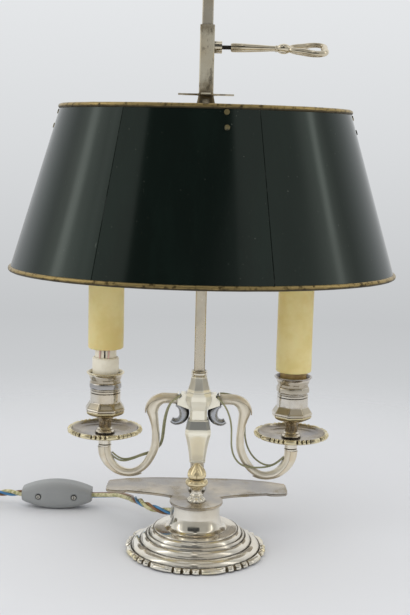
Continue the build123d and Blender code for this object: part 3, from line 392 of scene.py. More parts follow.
# %% [markdown]
# ## Card, plastic, glass, cloth and iron
# These surfaces aren't metal, so their colour is the whole look: a mottled cream for the card tubes,
# a fine grain for the moulded plastic and a short nap for the baize. One function makes them all,
# from a colour, a second colour, the size of the patches and the depth of the grain.

# %% Plain finishes
def moulded(name, light, dark, patch, share, rough, grain=900, depth=0.0002, more=None):
    """A plain surface in patches of two colours, with painted shade in its corners, and a fine grain."""
    f = Finish(name)
    patches = f.between(f.noise(patch, 4, 0.6), 0.35, 0.68)
    # painted shade: ambient occlusion darkens corners and gaps, where less light reaches
    corner_shade = f.between(f.hollow(0.002), 0.2, 0.7)
    colour = f.mix(patches * share, paint(*light), paint(*dark))
    colour = f.mix(corner_shade * 0.45, colour, tuple(part * 0.35 for part in paint(*dark)))
    f.surface({"Base Color": colour, "Roughness": rough + patches * 0.08,
               "Normal": f.bump(f.noise(grain, 3), depth, 0.5), **(more or {})})


METAL = {"Metallic": 1.0}
CORE = {"Coat Weight": 0.6, "Coat Roughness": 0.15}
PLAIN = (       # colour, second colour, patches, their share, roughness, grain, its depth, and the rest
    ("wax", (222, 207, 146), (208, 186, 112), 26, 0.8, 0.42, 120, 0.0004,
     {"Subsurface Weight": 0.12, "Subsurface Scale": 0.004}),
    ("holder", (232, 226, 208), (206, 196, 170), 50, 0.5, 0.38),
    # painted shade: a brown copy of the holder for the right one, whose base lies in the dark gap under its
    # tube
    ("holder_aged", (168, 140, 84), (120, 92, 48), 60, 0.7, 0.4),
    ("tail_pink", (206, 172, 160), (188, 140, 124), 60, 0.5, 0.4),
    ("glass", (240, 236, 224), (226, 220, 204), 30, 0.3, 0.3, 400, 0.0001, {"Transmission Weight": 0.5}),
    ("cap", (190, 190, 188), (150, 150, 148), 60, 0.4, 0.3, 500, 0.0001, METAL),
    ("steel", (150, 148, 142), (96, 92, 84), 50, 0.6, 0.34, 700, 0.0001, METAL),
    ("iron", (64, 62, 60), (40, 38, 36), 80, 0.7, 0.7, 300, 0.0006),
    ("baize", (42, 84, 56), (28, 60, 40), 90, 0.6, 0.95, 1500, 0.0008, {"Sheen Weight": 0.5}),
    ("rubber", (190, 190, 186), (140, 138, 132), 80, 0.5, 0.5),
    ("switch", (147, 149, 148), (137, 139, 139), 30, 0.4, 0.36, 1500, 0.0003),
    ("screw_light", (206, 204, 196), (170, 166, 156), 90, 0.5, 0.3, 600, 0.0001, {"Metallic": 0.3}),
    ("screw_dark", (70, 68, 64), (40, 38, 36), 90, 0.5, 0.4, 600, 0.0001, {"Metallic": 0.7}),
    ("lining", (214, 204, 176), (190, 178, 146), 14, 0.5, 0.5),
    ("plug", (52, 52, 54), (40, 40, 42), 40, 0.4, 0.45),
    ("pin", (206, 200, 188), (176, 168, 152), 60, 0.4, 0.26, 500, 0.0001, METAL),
    ("strap_tie", (30, 30, 32), (18, 18, 20), 120, 0.6, 0.9, 1400, 0.0006),
    ("core_earth", (214, 206, 166), (146, 146, 92), 330, 1.0, 0.5, 900, 0.0006),
    ("core_brown", (136, 96, 56), (92, 60, 32), 60, 0.6, 0.35, 1200, 0.0002, CORE),
    ("core_blue", (70, 140, 186), (36, 84, 132), 60, 0.6, 0.35, 1200, 0.0002, CORE),
    ("wire", (146, 144, 108), (104, 108, 74), 80, 0.6, 0.35, 1200, 0.0002, {"Coat Weight": 0.5}),
)
for settings in PLAIN:
    moulded(*settings)
print(len(FINISH), "finishes in all")

# %% [markdown]
# ## The camera
# The lamp is seen a little from above, with a slight tilt to one side. A camera is easiest to aim with
# its three own directions: to the right, up, and the way it looks. They become the columns of a
# matrix, and the tilt turns the first two about the third.

# %% Camera
CAMERA_PLACE = Vector((0.0037, -0.976, 0.368))
CAMERA_DOWN = radians(8.6)
CAMERA_ROLL = radians(1.4)
CAMERA_LENS = 62.57

ahead = Vector((0, cos(CAMERA_DOWN), -sin(CAMERA_DOWN)))
upright = Vector((0, sin(CAMERA_DOWN), cos(CAMERA_DOWN)))
right = EAST * cos(CAMERA_ROLL) + upright * sin(CAMERA_ROLL)
top = upright * cos(CAMERA_ROLL) - EAST * sin(CAMERA_ROLL)

camera = bpy.data.objects.new("camera", bpy.data.cameras.new("camera"))
camera.data.lens = CAMERA_LENS
camera.data.sensor_width = 36
camera.data.clip_start = 0.05
camera.matrix_world = Matrix.Translation(CAMERA_PLACE) @ Matrix((right, top, -ahead)).transposed().to_4x4()
scene.collection.objects.link(camera)
scene.camera = camera
print("camera looks", round(degrees(CAMERA_DOWN), 1), "degrees down")

# %% [markdown]
# ## Studio: backdrop, room and lamps
# A shiny object is a picture of its room, so the room is painted with care. The camera sees pale
# greys that get darker towards the table's far edge. Gloss sees the same greys behind the object, but
# towards the camera a dim room with two soft windows, left and right, and a dark middle where the
# camera stands. It is written as patches of sky, each with a place in degrees and a soft edge. Matt
# surfaces don't show a room, so they get one even level instead of it.

# %% Room
world = bpy.data.worlds.new("studio")
scene.world = world
world.use_nodes = True
world.cycles.sampling_method = "NONE"
sky = Finish("studio", world, "Background")
view = sky.node("ShaderNodeTexCoord", out="Generated")
view_x, view_y, view_z = (sky.part(axis, view) for axis in "XYZ")
azimuth = sky.node("ShaderNodeMath", {"operation": "ARCTAN2"}, {0: view_x, 1: 0 - view_y}) * degrees(1)
elevation = sky.node("ShaderNodeMath", {"operation": "ARCSINE"}, {0: view_z}) * degrees(1)

# elevations in degrees and the screen colours there
BACKDROP = ((-26, (221, 221, 222)), (-18, (214, 215, 216)), (-12.5, (203, 205, 207)), (-9, (196, 198, 200)),
            (-5, (206, 208, 210)), (0, (217, 219, 221)), (7.5, (229, 231, 233)), (40, (236, 237, 238)))
behind = sky.node("ShaderNodeValToRGB", {"stops": [
    (0.5 + up / 180, paint(*colour)) for up, colour in BACKDROP]}, {0: elevation * (1 / 180) + 0.5})
FRONT_GREY = (0.4, 0.4, 0.385)
ROOM = (        # azimuths and elevations in degrees, soft edge, colour
    ((-100, 100), (68, 95), 12, (0.2, 0.21, 0.225)),
    ((-60, 60), (38, 60), 8, (0.5, 0.49, 0.47)),
    ((-36, 17), (10, 34), 1.5, (0.05, 0.053, 0.055)),
    ((-9, 7), (33, 62), 2, (0.07, 0.07, 0.07)),
    ((-94, -62), (3, 58), 9, (0.85, 0.84, 0.81)),
    ((-84, -76), (3, 58), 3, (1.9, 1.87, 1.8)),
    ((62, 84), (3, 58), 8, (0.8, 0.79, 0.76)),
    ((73, 78), (3, 58), 3, (1.9, 1.87, 1.8)),
    ((-14, 9), (64, 78), 3, (1.3, 1.28, 1.22)),
    ((-181, 181), (-95, -2), 2, (0.66, 0.66, 0.655)),
)
room = sky.mix(sky.between(view_y, -0.15, 0.6), FRONT_GREY, behind)
for azimuths, elevations, soft, colour in ROOM:
    patch = sky.band(azimuth, *azimuths, soft) * sky.band(elevation, *elevations, soft)
    room = sky.mix(patch, room, colour)


def ray(kind):
    return sky.node("ShaderNodeLightPath", out=f"Is {kind} Ray")


SOFT_LEVEL = (0.93, 0.935, 0.95)
light = sky.mix(ray("Glossy") + ray("Transmission"), SOFT_LEVEL, room)
sky.surface({"Color": sky.mix(ray("Camera"), light, behind), "Strength": 1.0})
scene.view_settings.view_transform = "Standard"
print("room has", len(ROOM), "patches")

# %% [markdown]
# ## Studio: three soft boxes
# The even level gives no shape, because it comes from everywhere. Three large area lamps add it: a
# strong one on the left, a weaker one on the right and one in front from above. Large lamps give the
# soft edges of shadow that a small lamp can't. Gloss doesn't see them, because it has the room.

# %% Area lamps
LAMP_MIDDLE = Vector((0, 0, 0.3))


def soft_box(name, azimuth, elevation, distance, wide, tall, level):
    """A rectangular lamp of a given brightness, turned towards the object; azimuth 0 is in front."""
    light = bpy.data.lights.new(name, "AREA")
    light.shape = "RECTANGLE"
    light.size, light.size_y = wide, tall
    light.energy = level * pi * wide * tall
    a, e = radians(azimuth), radians(elevation)
    made = bpy.data.objects.new(name, light)
    made.location = LAMP_MIDDLE + Vector((sin(a) * cos(e), -cos(a) * cos(e), sin(e))) * distance
    made.rotation_euler = (LAMP_MIDDLE - made.location).to_track_quat("-Z", "Y").to_euler()
    made.visible_glossy = False
    scene.collection.objects.link(made)


soft_box("box_left", -66, 30, 1.7, 0.9, 1.0, 1.6)
soft_box("box_right", 66, 30, 1.7, 0.9, 1.0, 1.1)
soft_box("box_front", -8, 52, 1.7, 1.2, 0.8, 1.0)
print("three soft boxes")

# %% [markdown]
# ## Studio: the table
# A table's edge would draw a line behind the lamp. A round floor whose material fades to clear with
# distance has no edge: near the lamp it takes the shadows, and further out the backdrop takes over.

# %% Floor
FLOOR_R = 1.3
FLOOR_FADE = (0.22, 0.85)
FLOOR_SIDES = 48
floor_finish = Finish("pale_floor")
faded = floor_finish.between(floor_finish.length(floor_finish.place), *FLOOR_FADE)
floor_finish.surface({"Base Color": paint(218, 219, 221), "Roughness": 0.8, "Specular IOR Level": 0.1,
                      "Alpha": 1 - faded})
floor_mesh = bpy.data.meshes.new("floor")
floor_mesh.from_pydata(circle(Vector(), EAST, BACK, FLOOR_R, FLOOR_SIDES), [], [list(range(FLOOR_SIDES))])
floor_mesh.materials.append(floor_finish.owner)
floor = bpy.data.objects.new("floor", floor_mesh)
scene.collection.objects.link(floor)

# %% [markdown]
# ## A small kit for building meshes
# Most of the lamp is either turned on a lathe, filed in facets or drawn along a line. All three are the
# same thing to a computer: loops of points with a skin between them. `Shape` collects such skins, in
# millimetres, and makes one mesh. Shading is smooth, but stays sharp where two faces meet at an angle.

# %% Mesh kit
WELD = 1e-7         # metres; points nearer than this are one point
ROUND_STEPS = 128   # points round most turned pieces


class Shape:
    """Points and faces in millimetres that become one mesh."""

    def __init__(self):
        self.points = []
        self.faces = []
        self.kinds = []

    def skin(self, loops, kind=0, around=True, ring=False, lids=False):
        """Faces between loops; ring joins the last loop to the first, and lids close both ends."""
        first = len(self.points)
        size = len(loops[0])
        rows = len(loops)
        for loop in loops:
            self.points += [Vector(point) for point in loop]
        for row in range(rows if ring else rows - 1):
            above = (row + 1) % rows
            for column in range(size if around else size - 1):
                beside = (column + 1) % size
                corners = ((row, column), (row, beside), (above, beside), (above, column))
                self.faces.append([first + r * size + c for r, c in corners])
                self.kinds.append(kind)
        if lids:
            self.faces.append(list(range(first + size - 1, first - 1, -1)))
            self.faces.append(list(range(first + (rows - 1) * size, first + rows * size)))
            self.kinds += [kind, kind]
        return self

    def build(self, name, finishes, replaces=(), body="lamp", slot="silver_plate", sharp=38, bevel=0.0):
        """Makes the object, which rides on its body and stands for the named solids."""
        mesh = bpy.data.meshes.new(name)
        mesh.from_pydata([point * METRES for point in self.points], [], self.faces)
        for finish in finishes:
            mesh.materials.append(FINISH[finish])
        mesh.polygons.foreach_set("material_index", self.kinds)
        work = bmesh.new()
        work.from_mesh(mesh)
        bmesh.ops.remove_doubles(work, verts=work.verts, dist=WELD)
        bmesh.ops.recalc_face_normals(work, faces=work.faces)
        work.to_mesh(mesh)
        work.free()
        mesh.shade_smooth()
        mesh.set_sharp_from_angle(angle=radians(sharp))
        made = bpy.data.objects.new(name, mesh)
        scene.collection.objects.link(made)
        if bevel:
            edge = made.modifiers.new("edge", "BEVEL")
            edge.width = bevel * METRES
            edge.segments = 2
            edge.limit_method = "ANGLE"
            edge.angle_limit = radians(sharp)
        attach(made, body)
        if replaces:
            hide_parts(*replaces)
        print(name, len(mesh.polygons), "faces")
        return made


print("shapes ready")

# %% [markdown]
# ## Lines and profiles
# Three helpers make the loops. `eased` draws a smooth line through a few points, which is far less
# work than placing every point by hand. `spun` turns a profile as a lathe does. `carried` takes two
# square directions along a line without letting them twist, and a tube's rings stand in those.

# %% Lines and profiles
def eased(points, steps=5):
    """A smooth line through points, which may have any number of coordinates."""
    padded = [points[0], *points, points[-1]]
    line = []
    for a, b, c, d in zip(padded, padded[1:], padded[2:], padded[3:]):
        for step in range(steps):
            t = step / steps
            line.append(tuple(
                0.5 * (2 * q + (r - p) * t + (2 * p - 5 * q + 4 * r - s) * t ** 2
                       + (3 * q - p - 3 * r + s) * t ** 3) for p, q, r, s in zip(a, b, c, d)))
    return line + [tuple(points[-1])]


def spun(profile, place, steps, form=None):
    """Loops of a piece turned about an upright line, with heights from a place on that line; form may
    change the radius and height of a point by its angle."""
    loops = []
    for station in profile:
        loop = []
        for step in range(steps):
            angle = TURN * step / steps
            radius, height = form(angle, *station) if form else station
            loop.append((place.x + radius * cos(angle), place.y + radius * sin(angle), place.z + height))
        loops.append(loop)
    return loops


def carried(line):
    """At each point of a line: the point, its direction, and two directions square to it."""
    line = [Vector(point) for point in line]
    ahead = [(after - before).normalized() for before, after in
             zip([line[0], *line[:-1]], [*line[1:], line[-1]])]
    side = ahead[0].orthogonal().normalized()
    rows = []
    for point, along in zip(line, ahead):
        side = (side - along * side.dot(along)).normalized()
        rows.append((point, along, side, along.cross(side)))
    return rows


print("lines and profiles ready")

# %% [markdown]
# ## The mains lead
# A lead has a real length: this one is about 1.8 m from the foot to the plug. Its line is one smooth
# curve through given points: out of the bush in the drum, down to the switch on the table, on to
# a coil put away behind the left end, and up over the coil to the plug. A NURBS curve of order 3 keeps
# the bends round. Three insulated cores, cream, brown and blue, wind round that line as the real ones do.

# %% Route of the lead
SWITCH = Vector((-142.0, 71.0, 13.8))
SWITCH_HALF = 35.2
COIL = Vector((-264.0, 41.5, 0))
COIL_RADII = (44.0, 37.0, 30.0)
LAYERS = (3.5, 10.5)
POINTS_PER_TURN = 16
SHIFT = 0.09            # part of a turn, at its start and end, in which the coil changes radius or layer
to_coil = [             # from the bush through the switch
    (-21.25, -28.31, 33.0), (-35.16, -24.58, 33.0), (-47.0, -15.5, 34.6), (-55.5, 0.5, 33.2),
    (-63.5, 20.0, 29.0), (-72.4, 40.6, 24.2), (-79.1, 54.0, 20.6), (-87.1, 63.3, 17.0), (-97.0, 69.1, 14.8),
    (SWITCH.x + SWITCH_HALF - 0.5, SWITCH.y, SWITCH.z), (SWITCH.x, SWITCH.y + 0.05, SWITCH.z),
    (SWITCH.x - SWITCH_HALF + 0.5, SWITCH.y, SWITCH.z), (-190.0, 71.3, 14.3), (-205.0, 73.0, 13.0),
    (-221.0, 77.0, 9.5), (-238.0, 81.5, 5.5), (-252.0, 84.8, 3.8)]
to_plug = [
    (-280.0, 86.3, 10.3), (-297.0, 83.5, 8.4), (-311.5, 74.0, 7.2), (-320.0, 59.5, 7.0), (-320.0, 44.0, 7.0)]


def coil_points():
    """Six turns: three inwards on the table, then three outwards on top of them."""
    radii = (*COIL_RADII, *reversed(COIL_RADII))
    points = []
    for step in range(len(radii) * POINTS_PER_TURN + 1):
        turns = step / POINTS_PER_TURN
        whole = min(int(turns), len(radii) - 1)
        part = turns - whole
        before = radii[max(whole - 1, 0)]
        after = radii[min(whole + 1, len(radii) - 1)]
        radius = radii[whole]
        if part < SHIFT:
            radius += (before - radius) * (0.5 - 0.5 * part / SHIFT)
        elif part > 1 - SHIFT:
            radius += (after - radius) * 0.5 * (part - 1 + SHIFT) / SHIFT
        rise = held((turns - len(COIL_RADII) + SHIFT) / (2 * SHIFT))
        z = LAYERS[0] + (LAYERS[1] - LAYERS[0]) * rise
        angle = pi / 2 + TURN * turns
        points.append((COIL.x + radius * cos(angle), COIL.y + radius * sin(angle), z))
    return points


def nurbs(name, points):
    """A curve object whose one spline has the points, in millimetres, as its control points."""
    curve = bpy.data.curves.new(name, "CURVE")
    curve.dimensions = "3D"
    spline = curve.splines.new("NURBS")
    spline.points.add(len(points) - 1)
    for knot, point in zip(spline.points, points):
        knot.co = (*(part * METRES for part in point), 1)
    spline.order_u = 3
    spline.use_endpoint_u = True
    spline.resolution_u = 8
    return bpy.data.objects.new(name, curve)


def line_of(curve_object):
    """The points of a curve's smooth line, in metres."""
    mesh = bpy.data.meshes.new_from_object(curve_object)
    line = [vertex.co.copy() for vertex in mesh.vertices]
    bpy.data.meshes.remove(mesh)
    return line


lead_line = line_of(nurbs("lead_route", to_coil + coil_points() + to_plug))
lead_length = sum((b - a).length for a, b in zip(lead_line, lead_line[1:]))
print("lead", round(lead_length, 3), "m,", len(lead_line), "points")

# %% [markdown]
# ## The cores of the lead
# A texture of stripes could stand for twisted cores, but the outline of a real one is wavy. So each
# core is a tube whose centre goes round the line, one turn every few centimetres. Just before the
# switch the cores lie almost straight, so the winding slows down there.

# %% Cores of the lead
CORE_SIDES = 10
CORES = ((3.9, 1.55, 0.0), (2.7, 1.95, radians(135)), (2.7, 1.95, radians(225)))    # width, off centre, turn
LAY_MM = 38.0                       # length in which the cores wind once round
SLOW_FROM, SLOW_TO = 66.0, 141.0    # distances from the bush between which they lie almost straight
SLOW_SHARE = 0.03
CORE_START = 0.34                   # turns, which puts the cream core in front at the bush


def winding(distance):
    """Turns of the cores at a distance along the lead, in millimetres."""
    slow = min(max(distance - SLOW_FROM, 0), SLOW_TO - SLOW_FROM) * (1 - SLOW_SHARE)
    return CORE_START + (distance - slow) / LAY_MM


lead = Shape()
stations = carried([point * 1000 for point in lead_line])
away = [0.0]
for (here, *_), (there, *_) in zip(stations, stations[1:]):
    away.append(away[-1] + (there - here).length)
for number, (wide, off_centre, begin) in enumerate(CORES):
    loops = []
    for (point, _, side, across), distance in zip(stations, away):
        turn = TURN * winding(distance) + begin
        centre = point + (side * cos(turn) + across * sin(turn)) * off_centre
        loops.append(circle(centre, side, across, wide / 2, CORE_SIDES))
    lead.skin(loops, kind=number, lids=True)
lead = lead.build("mains_lead", ["core_earth", "core_brown", "core_blue"],
                  ["cord_lamp_side", "cord_wall_side", "cord_coil"], slot="cord_fabric")

# %% [markdown]
# ## The switch on the lead
# The switch is a lens of grey plastic in two halves that two screws hold. The front half is a domed
# face: at each place along the lens its section is a rounded box, and round each screw the face is
# pressed in. A displaced grid gives both, and the back half with its rocker stays as measured.

# %% Switch front
SWITCH_HIGH, SWITCH_END = 13.8, 5.9             # half height in the middle and at the ends
SWITCH_DEEP, SWITCH_END_DEEP = 10.5, 7.6        # and how far the face stands forward there
SCREW_AT = 18.0
SCREW_WELL_R, SCREW_WELL_Y = 3.2, -8.9
WELL_EDGE = 0.5
SQUARENESS = 3.0
ROUND_FROM = 0.97                               # part of the half length where the ends start to round
LENS_COLUMNS, LENS_ROWS = 140, 56

lens_r = (SWITCH_HALF ** 2 + (SWITCH_HIGH - SWITCH_END) ** 2) / (2 * (SWITCH_HIGH - SWITCH_END))


def lens_half(x):
    """Half height of the lens at a distance from its middle."""
    return sqrt(lens_r ** 2 - x ** 2) - lens_r + SWITCH_HIGH


front = Shape()
loops = []
for column in range(LENS_COLUMNS + 1):
    x = SWITCH_HALF * (2 * column / LENS_COLUMNS - 1)
    out = abs(x) / SWITCH_HALF
    edge = max(0.0, out - ROUND_FROM) / (1 - ROUND_FROM)
    deep = SWITCH_DEEP + (SWITCH_END_DEEP - SWITCH_DEEP) * out ** 2 - 0.9 * edge ** 2
    high = lens_half(x) - 0.5 * edge ** 2
    loop = []
    for row in range(LENS_ROWS + 1):
        angle = pi * (row / LENS_ROWS - 0.5)
        z = high * (abs(sin(angle)) ** (2 / SQUARENESS)) * (1 if angle > 0 else -1)
        y = -deep * abs(cos(angle)) ** (2 / SQUARENESS)
        away_from_screw = hypot(abs(x) - SCREW_AT, z)
        pressed = held((SCREW_WELL_R - away_from_screw) / WELL_EDGE + 0.5)
        y += (max(y, SCREW_WELL_Y) - y) * pressed
        loop.append((SWITCH.x + x, SWITCH.y + y, SWITCH.z + z))
    loops.append(loop)
front.skin(loops, around=False, lids=True)
seam = [[(x, SWITCH.y, z) for x, _, z in (loop[end] for loop in loops)] for end in (0, -1)]
front.skin(seam, around=False)
front.build("switch_dome", ["switch"], ["switch_front"], slot="switch_grey", sharp=50)

# %% [markdown]
# ## The round foot
# The foot was spun from sheet and its edge was pressed into gadroons: one wide lobe, then three small
# beads, eight times round. A lathe profile gives the rings. A form function then moves each point by
# its angle: at the edge it swells into lobes, and a little way in it is left alone.

# %% Gadrooned edge
GROUPS = 8
WIDE_SHARE = 0.5        # part of a group that the wide lobe takes
BEADS = 3
LIFT_WITHIN = 1.5       # height over which the underside's flat edge turns into lobes
NOTCH = 0.36            # where the lobes are lower than this, the metal is never rubbed clean


def lobe(angle, start):
    """Height from 0 between two lobes to 1 on top of one; the wide lobe is flatter than a bead."""
    share = ((angle - start) / TURN * GROUPS) % 1.0
    if share < WIDE_SHARE:
        across = 2 * share / WIDE_SHARE - 1
        return 1 - abs(across) ** 3.5
    across = 2 * ((share - WIDE_SHARE) / (1 - WIDE_SHARE) * BEADS % 1.0) - 1
    return 1 - abs(across) ** 1.7


def gadroon(edge_r, fade, depth, drop, start, rim_low):
    """A form for spun(): lobes at the edge of a radius, fading inwards over a width."""
    def form(angle, radius, height):
        near = held(1 - (edge_r - radius) / fade)
        low = (1 - lobe(angle, start)) * near
        lift = held((height - rim_low) / LIFT_WITHIN)
        return radius - depth * low, height - drop * low * lift
    return form


def mark_notches(shape, profile, steps, start, inner):
    """Gives the notches between the lobes, outside of a radius, the second finish."""
    for row, (radius, _) in enumerate(profile):
        for column in range(steps):
            if radius > inner and lobe(TURN * (column + 0.5) / steps, start) < NOTCH:
                shape.kinds[row * steps + column] = 1


FOOT_R = 0.5 * (foot_high.x - foot_low.x)
FOOT_HIGH = foot_high.z - foot_low.z
FOOT_STEPS = GROUPS * 60
FOOT_START = radians(4.8)
foot_profile = (
    [(20.0, 0.2), (56.0, 0.2)]
    + eased([(60.5, 0.0), (63.8, 0.3), (FOOT_R, 1.6), (64.2, 3.3), (62.6, 4.2), (60.6, 4.3), (59.7, 3.9)], 4)
    + [(59.4, 3.0), (58.9, 2.6), (58.6, 3.1)]
    + eased([(58.6, 3.8), (58.2, 5.2), (56.4, 7.2), (53.8, 8.4), (51.7, 8.8)])
    + [(51.2, 8.2), (50.7, 7.9), (50.4, 8.4)]
    + eased([(50.4, 9.1), (49.9, 10.8), (48.2, 12.8), (46.3, 13.8)])
    + [(45.7, 13.2), (45.2, 13.0), (44.9, 13.5)]
    + eased([(44.8, 14.3), (44.2, 15.7), (43.4, 16.0)], 4)
    + [(42.9, 15.3), (42.5, 15.2), (42.3, 15.7)]
    + eased([(42.1, 16.6), (41.0, 18.6), (39.2, 19.8)])
    + [(38.7, 19.2), (38.3, 19.2), (38.1, 19.8)]
    + eased([(37.9, 20.4), (37.4, FOOT_HIGH - 0.1), (36.0, FOOT_HIGH)], 4)
    + [(30.0, FOOT_HIGH - 0.1), (20.0, FOOT_HIGH - 0.1)])
foot = Shape().skin(
    spun(foot_profile, seat("foot") + BACK * FOOT_Y, FOOT_STEPS,
         gadroon(FOOT_R, 5.2, 3.2, 2.6, FOOT_START, 0.2)), ring=True)
mark_notches(foot, foot_profile, FOOT_STEPS, FOOT_START, 60.4)
foot.build("foot_spun", ["foot_silver", "notch_silver"], ["foot"], sharp=42)

# %% [markdown]
# ## Drip pans
# Each arm carries a shallow pan with the same pressed edge. The profile runs under the pan, over the
# rolled rim and back across the dished floor to the hole that the threaded tube goes through.

# %% Pans
PAN_R = 35.2
PAN_STEPS = GROUPS * 48
PAN_START = {"left": radians(6.0), "right": radians(28.0)}
PAN_PROFILE = (
    eased([(5.0, 0.0), (10.0, 0.0), (26.0, 0.9), (31.0, 2.0), (32.6, 2.9)], 4)
    + eased([(33.2, 3.1), (34.8, 3.5), (PAN_R, 4.8), (34.7, 6.4), (33.2, 7.1), (31.9, 6.9), (31.2, 6.1)], 4)
    + eased([(30.9, 5.3), (29.6, 3.9), (25.5, 2.7), (10.0, 1.6), (5.0, 1.6)], 4))

for side in SIDES:
    form = gadroon(PAN_R, 4.0, 2.4, 2.0, PAN_START[side], 3.6)
    pan = Shape().skin(spun(PAN_PROFILE, seat(f"pan_{side}"), PAN_STEPS, form), ring=True)
    mark_notches(pan, PAN_PROFILE, PAN_STEPS, PAN_START[side], 32.6)
    pan.build(f"drip_pan_{side}", ["pan_silver", "notch_silver"], [f"pan_{side}"], sharp=42)

# %% [markdown]
# ## Candle cups
# A cup is part lathe work and part filing: its foot, neck and lip are round, its belly and body have
# eight soft flats. Each row of the profile says how flat it is, from 0, round, to 1, an octagon, and
# the form turns that share into a radius for each angle.

# %% Cups
CUP_TURN = radians(8)
CORNER = 1.066          # the most that a corner stands out past the flats, because it was rubbed round
CUP_FINISH = {"left": "cup_silver", "right": "cup_plain"}


def flats(angle, radius, height, flat):
    """A form for spun(): eight flats, from 0, round, to 1, an octagon."""
    eighth = TURN / 8
    across = (angle - CUP_TURN + eighth / 2) % eighth - eighth / 2
    corner = min(1 / cos(across), CORNER)
    return radius * (1 + (corner - 1) * flat), height


CUP_PROFILE = (
    eased([(5.0, 0.0, 0), (7.6, 0.0, 0), (8.9, 0.6, 0), (8.7, 1.9, 0), (7.4, 2.8, 0)], 3)
    + eased([(7.1, 3.2, 0), (7.3, 4.0, 0), (6.4, 4.8, 0)], 3)
    + eased([(5.9, 5.3, 0), (5.7, 8.0, 0.2), (6.1, 12.4, 0.3), (8.2, 15.0, 0.6)], 4)
    + eased([(8.8, 15.6, 0.7), (13.4, 17.2, 1), (17.0, 19.6, 1), (17.5, 21.6, 1)], 3)
    + eased([(17.3, 22.2, 1), (17.9, 23.0, 1), (17.8, 24.2, 1), (17.1, 25.0, 1)], 3)
    + eased([(16.8, 25.6, 1), (15.6, 27.6, 1), (14.6, 29.2, 1), (14.2, 29.8, 1)], 3)
    + [(13.9, 30.4, 0.8), (14.1, 31.0, 0.5), (14.1, 38.6, 0.5), (13.4, 39.1, 0.5),
       (14.1, 39.6, 0.5), (14.1, 41.0, 0.5), (13.4, 41.6, 0.5), (13.3, 42.8, 0.5), (13.9, 43.2, 0.5)]
    + eased([(14.6, 43.7, 0.7), (14.9, 44.6, 0.6), (14.8, 47.6, 0.6), (14.4, 48.6, 0.6)], 3)
    + [(13.8, 49.1, 0.6), (13.8, 51.2, 0.5)]
    + eased([(14.2, 51.8, 0.4), (14.6, 52.6, 0.3), (15.8, 55.2, 0), (17.3, 57.2, 0),
             (17.6, 57.9, 0), (17.1, 58.5, 0), (16.2, 58.6, 0)], 4)
    + eased([(15.6, 58.2, 0), (14.2, 56.4, 0), (12.9, 53.4, 0)], 3)
    + [(12.6, 52.0, 0), (12.6, 33.0, 0), (5.0, 32.8, 0)])

for side in SIDES:
    Shape().skin(spun(CUP_PROFILE, seat(f"cup_{side}"), ROUND_STEPS, flats), ring=True).build(
        f"candle_cup_{side}", [CUP_FINISH[side]], [f"cup_{side}"], sharp=32)

# %% [markdown]
# ## The candle tubes
# The candles are card tubes with a wax coloured skin. They aren't quite true: a slow ripple from
# Blender's own noise moves the surface by a fraction of a millimetre, and both ends are eased.

# %% Candle tubes
SLEEVE_BORE = 12.4
RIPPLE = 0.22
SEED_STEP = 3.1         # keeps the two tubes from having the same ripple
TUBE_STEPS, TUBE_ROWS = 96, 24


def rippled(seed):
    """A form for spun(): a slow ripple on the outside of a tube, another one for each seed."""
    def form(angle, radius, height):
        place = Vector((cos(angle) * 1.6, sin(angle) * 1.6, height * 0.035 + seed))
        amount = RIPPLE if radius > SLEEVE_BORE + 1 else 0
        return radius + (noise.noise(place) - 0.3) * amount, height
    return form


for side, sign in SIDES.items():
    low, high = span(f"sleeve_{side}")
    outer = 0.5 * (high.x - low.x)
    profile = (
        eased([(SLEEVE_BORE, low.z + 0.5), (SLEEVE_BORE + 0.6, low.z), (outer - 0.9, low.z),
               (outer, low.z + 1.1)], 4)
        + [(outer, low.z + (high.z - low.z) * row / TUBE_ROWS) for row in range(1, TUBE_ROWS)]
        + eased([(outer, high.z - 1.3), (outer - 1.0, high.z), (SLEEVE_BORE + 0.6, high.z),
                 (SLEEVE_BORE, high.z - 0.5)], 4))
    axis = Vector((0.5 * (low.x + high.x), 0, 0))
    Shape().skin(spun(profile, axis, TUBE_STEPS, rippled(sign * SEED_STEP)), ring=True).build(
        f"candle_tube_{side}", ["wax"], [f"sleeve_{side}"], f"sleeve_{side}", "sleeve_wax", sharp=60)

# %% [markdown]
# ## The oval shade
# The shade is one sheet rolled into an oval cone. Its enamel is so glossy that a stripe of light shows
# every swell of the sheet, so the mesh has many columns and a very slight, slow unevenness. The inside
# is a second skin with a cream lining. Round beads are rolled along both edges.

# %% Shade
SHADE_FOOT = Vector((shell_high.x, shell_high.y))
SHADE_TOP = Vector((130.0, 94.5))
SHADE_WALL = 0.9
COLUMNS, ROWS = 320, 26
DENT = 0.16
FOLDS = (radians(-121), radians(-70), radians(38), radians(118))     # where the sheet is bent a little more
FOLD_WIDE = 0.07
FOLD_OUT = 0.45
CREASE = 0.0022         # half the angle of the dark line painted along each fold, a painted reflection of the bend
BEAD_R = 2.3
BEAD_SIDES = 14
creases = [fold % TURN for fold in FOLDS]
SHADE_ANGLES = sorted([TURN * column / COLUMNS for column in range(COLUMNS)]
                      + [fold + shift for fold in creases for shift in (-CREASE, CREASE)])


def shade_point(angle, share, inset):
    """A point of the sheet at an angle and a share of its height, moved in by an inset."""
    half_x = SHADE_FOOT.x + (SHADE_TOP.x - SHADE_FOOT.x) * share - inset
    half_y = SHADE_FOOT.y + (SHADE_TOP.y - SHADE_FOOT.y) * share - inset
    swell = noise.noise(Vector((cos(angle) * 2.2, sin(angle) * 2.2, share * 0.7))) * DENT * sin(pi * share)
    for fold in FOLDS:
        off = abs((angle - fold + pi) % TURN - pi)
        swell += FOLD_OUT * max(1 - off / FOLD_WIDE, 0)
    return ((half_x + swell) * cos(angle), (half_y + swell) * sin(angle),
            shell_low.z + (shell_high.z - shell_low.z) * share)


def shade_rows(inset, shares):
    return [[shade_point(angle, share, inset) for angle in SHADE_ANGLES] for share in shares]


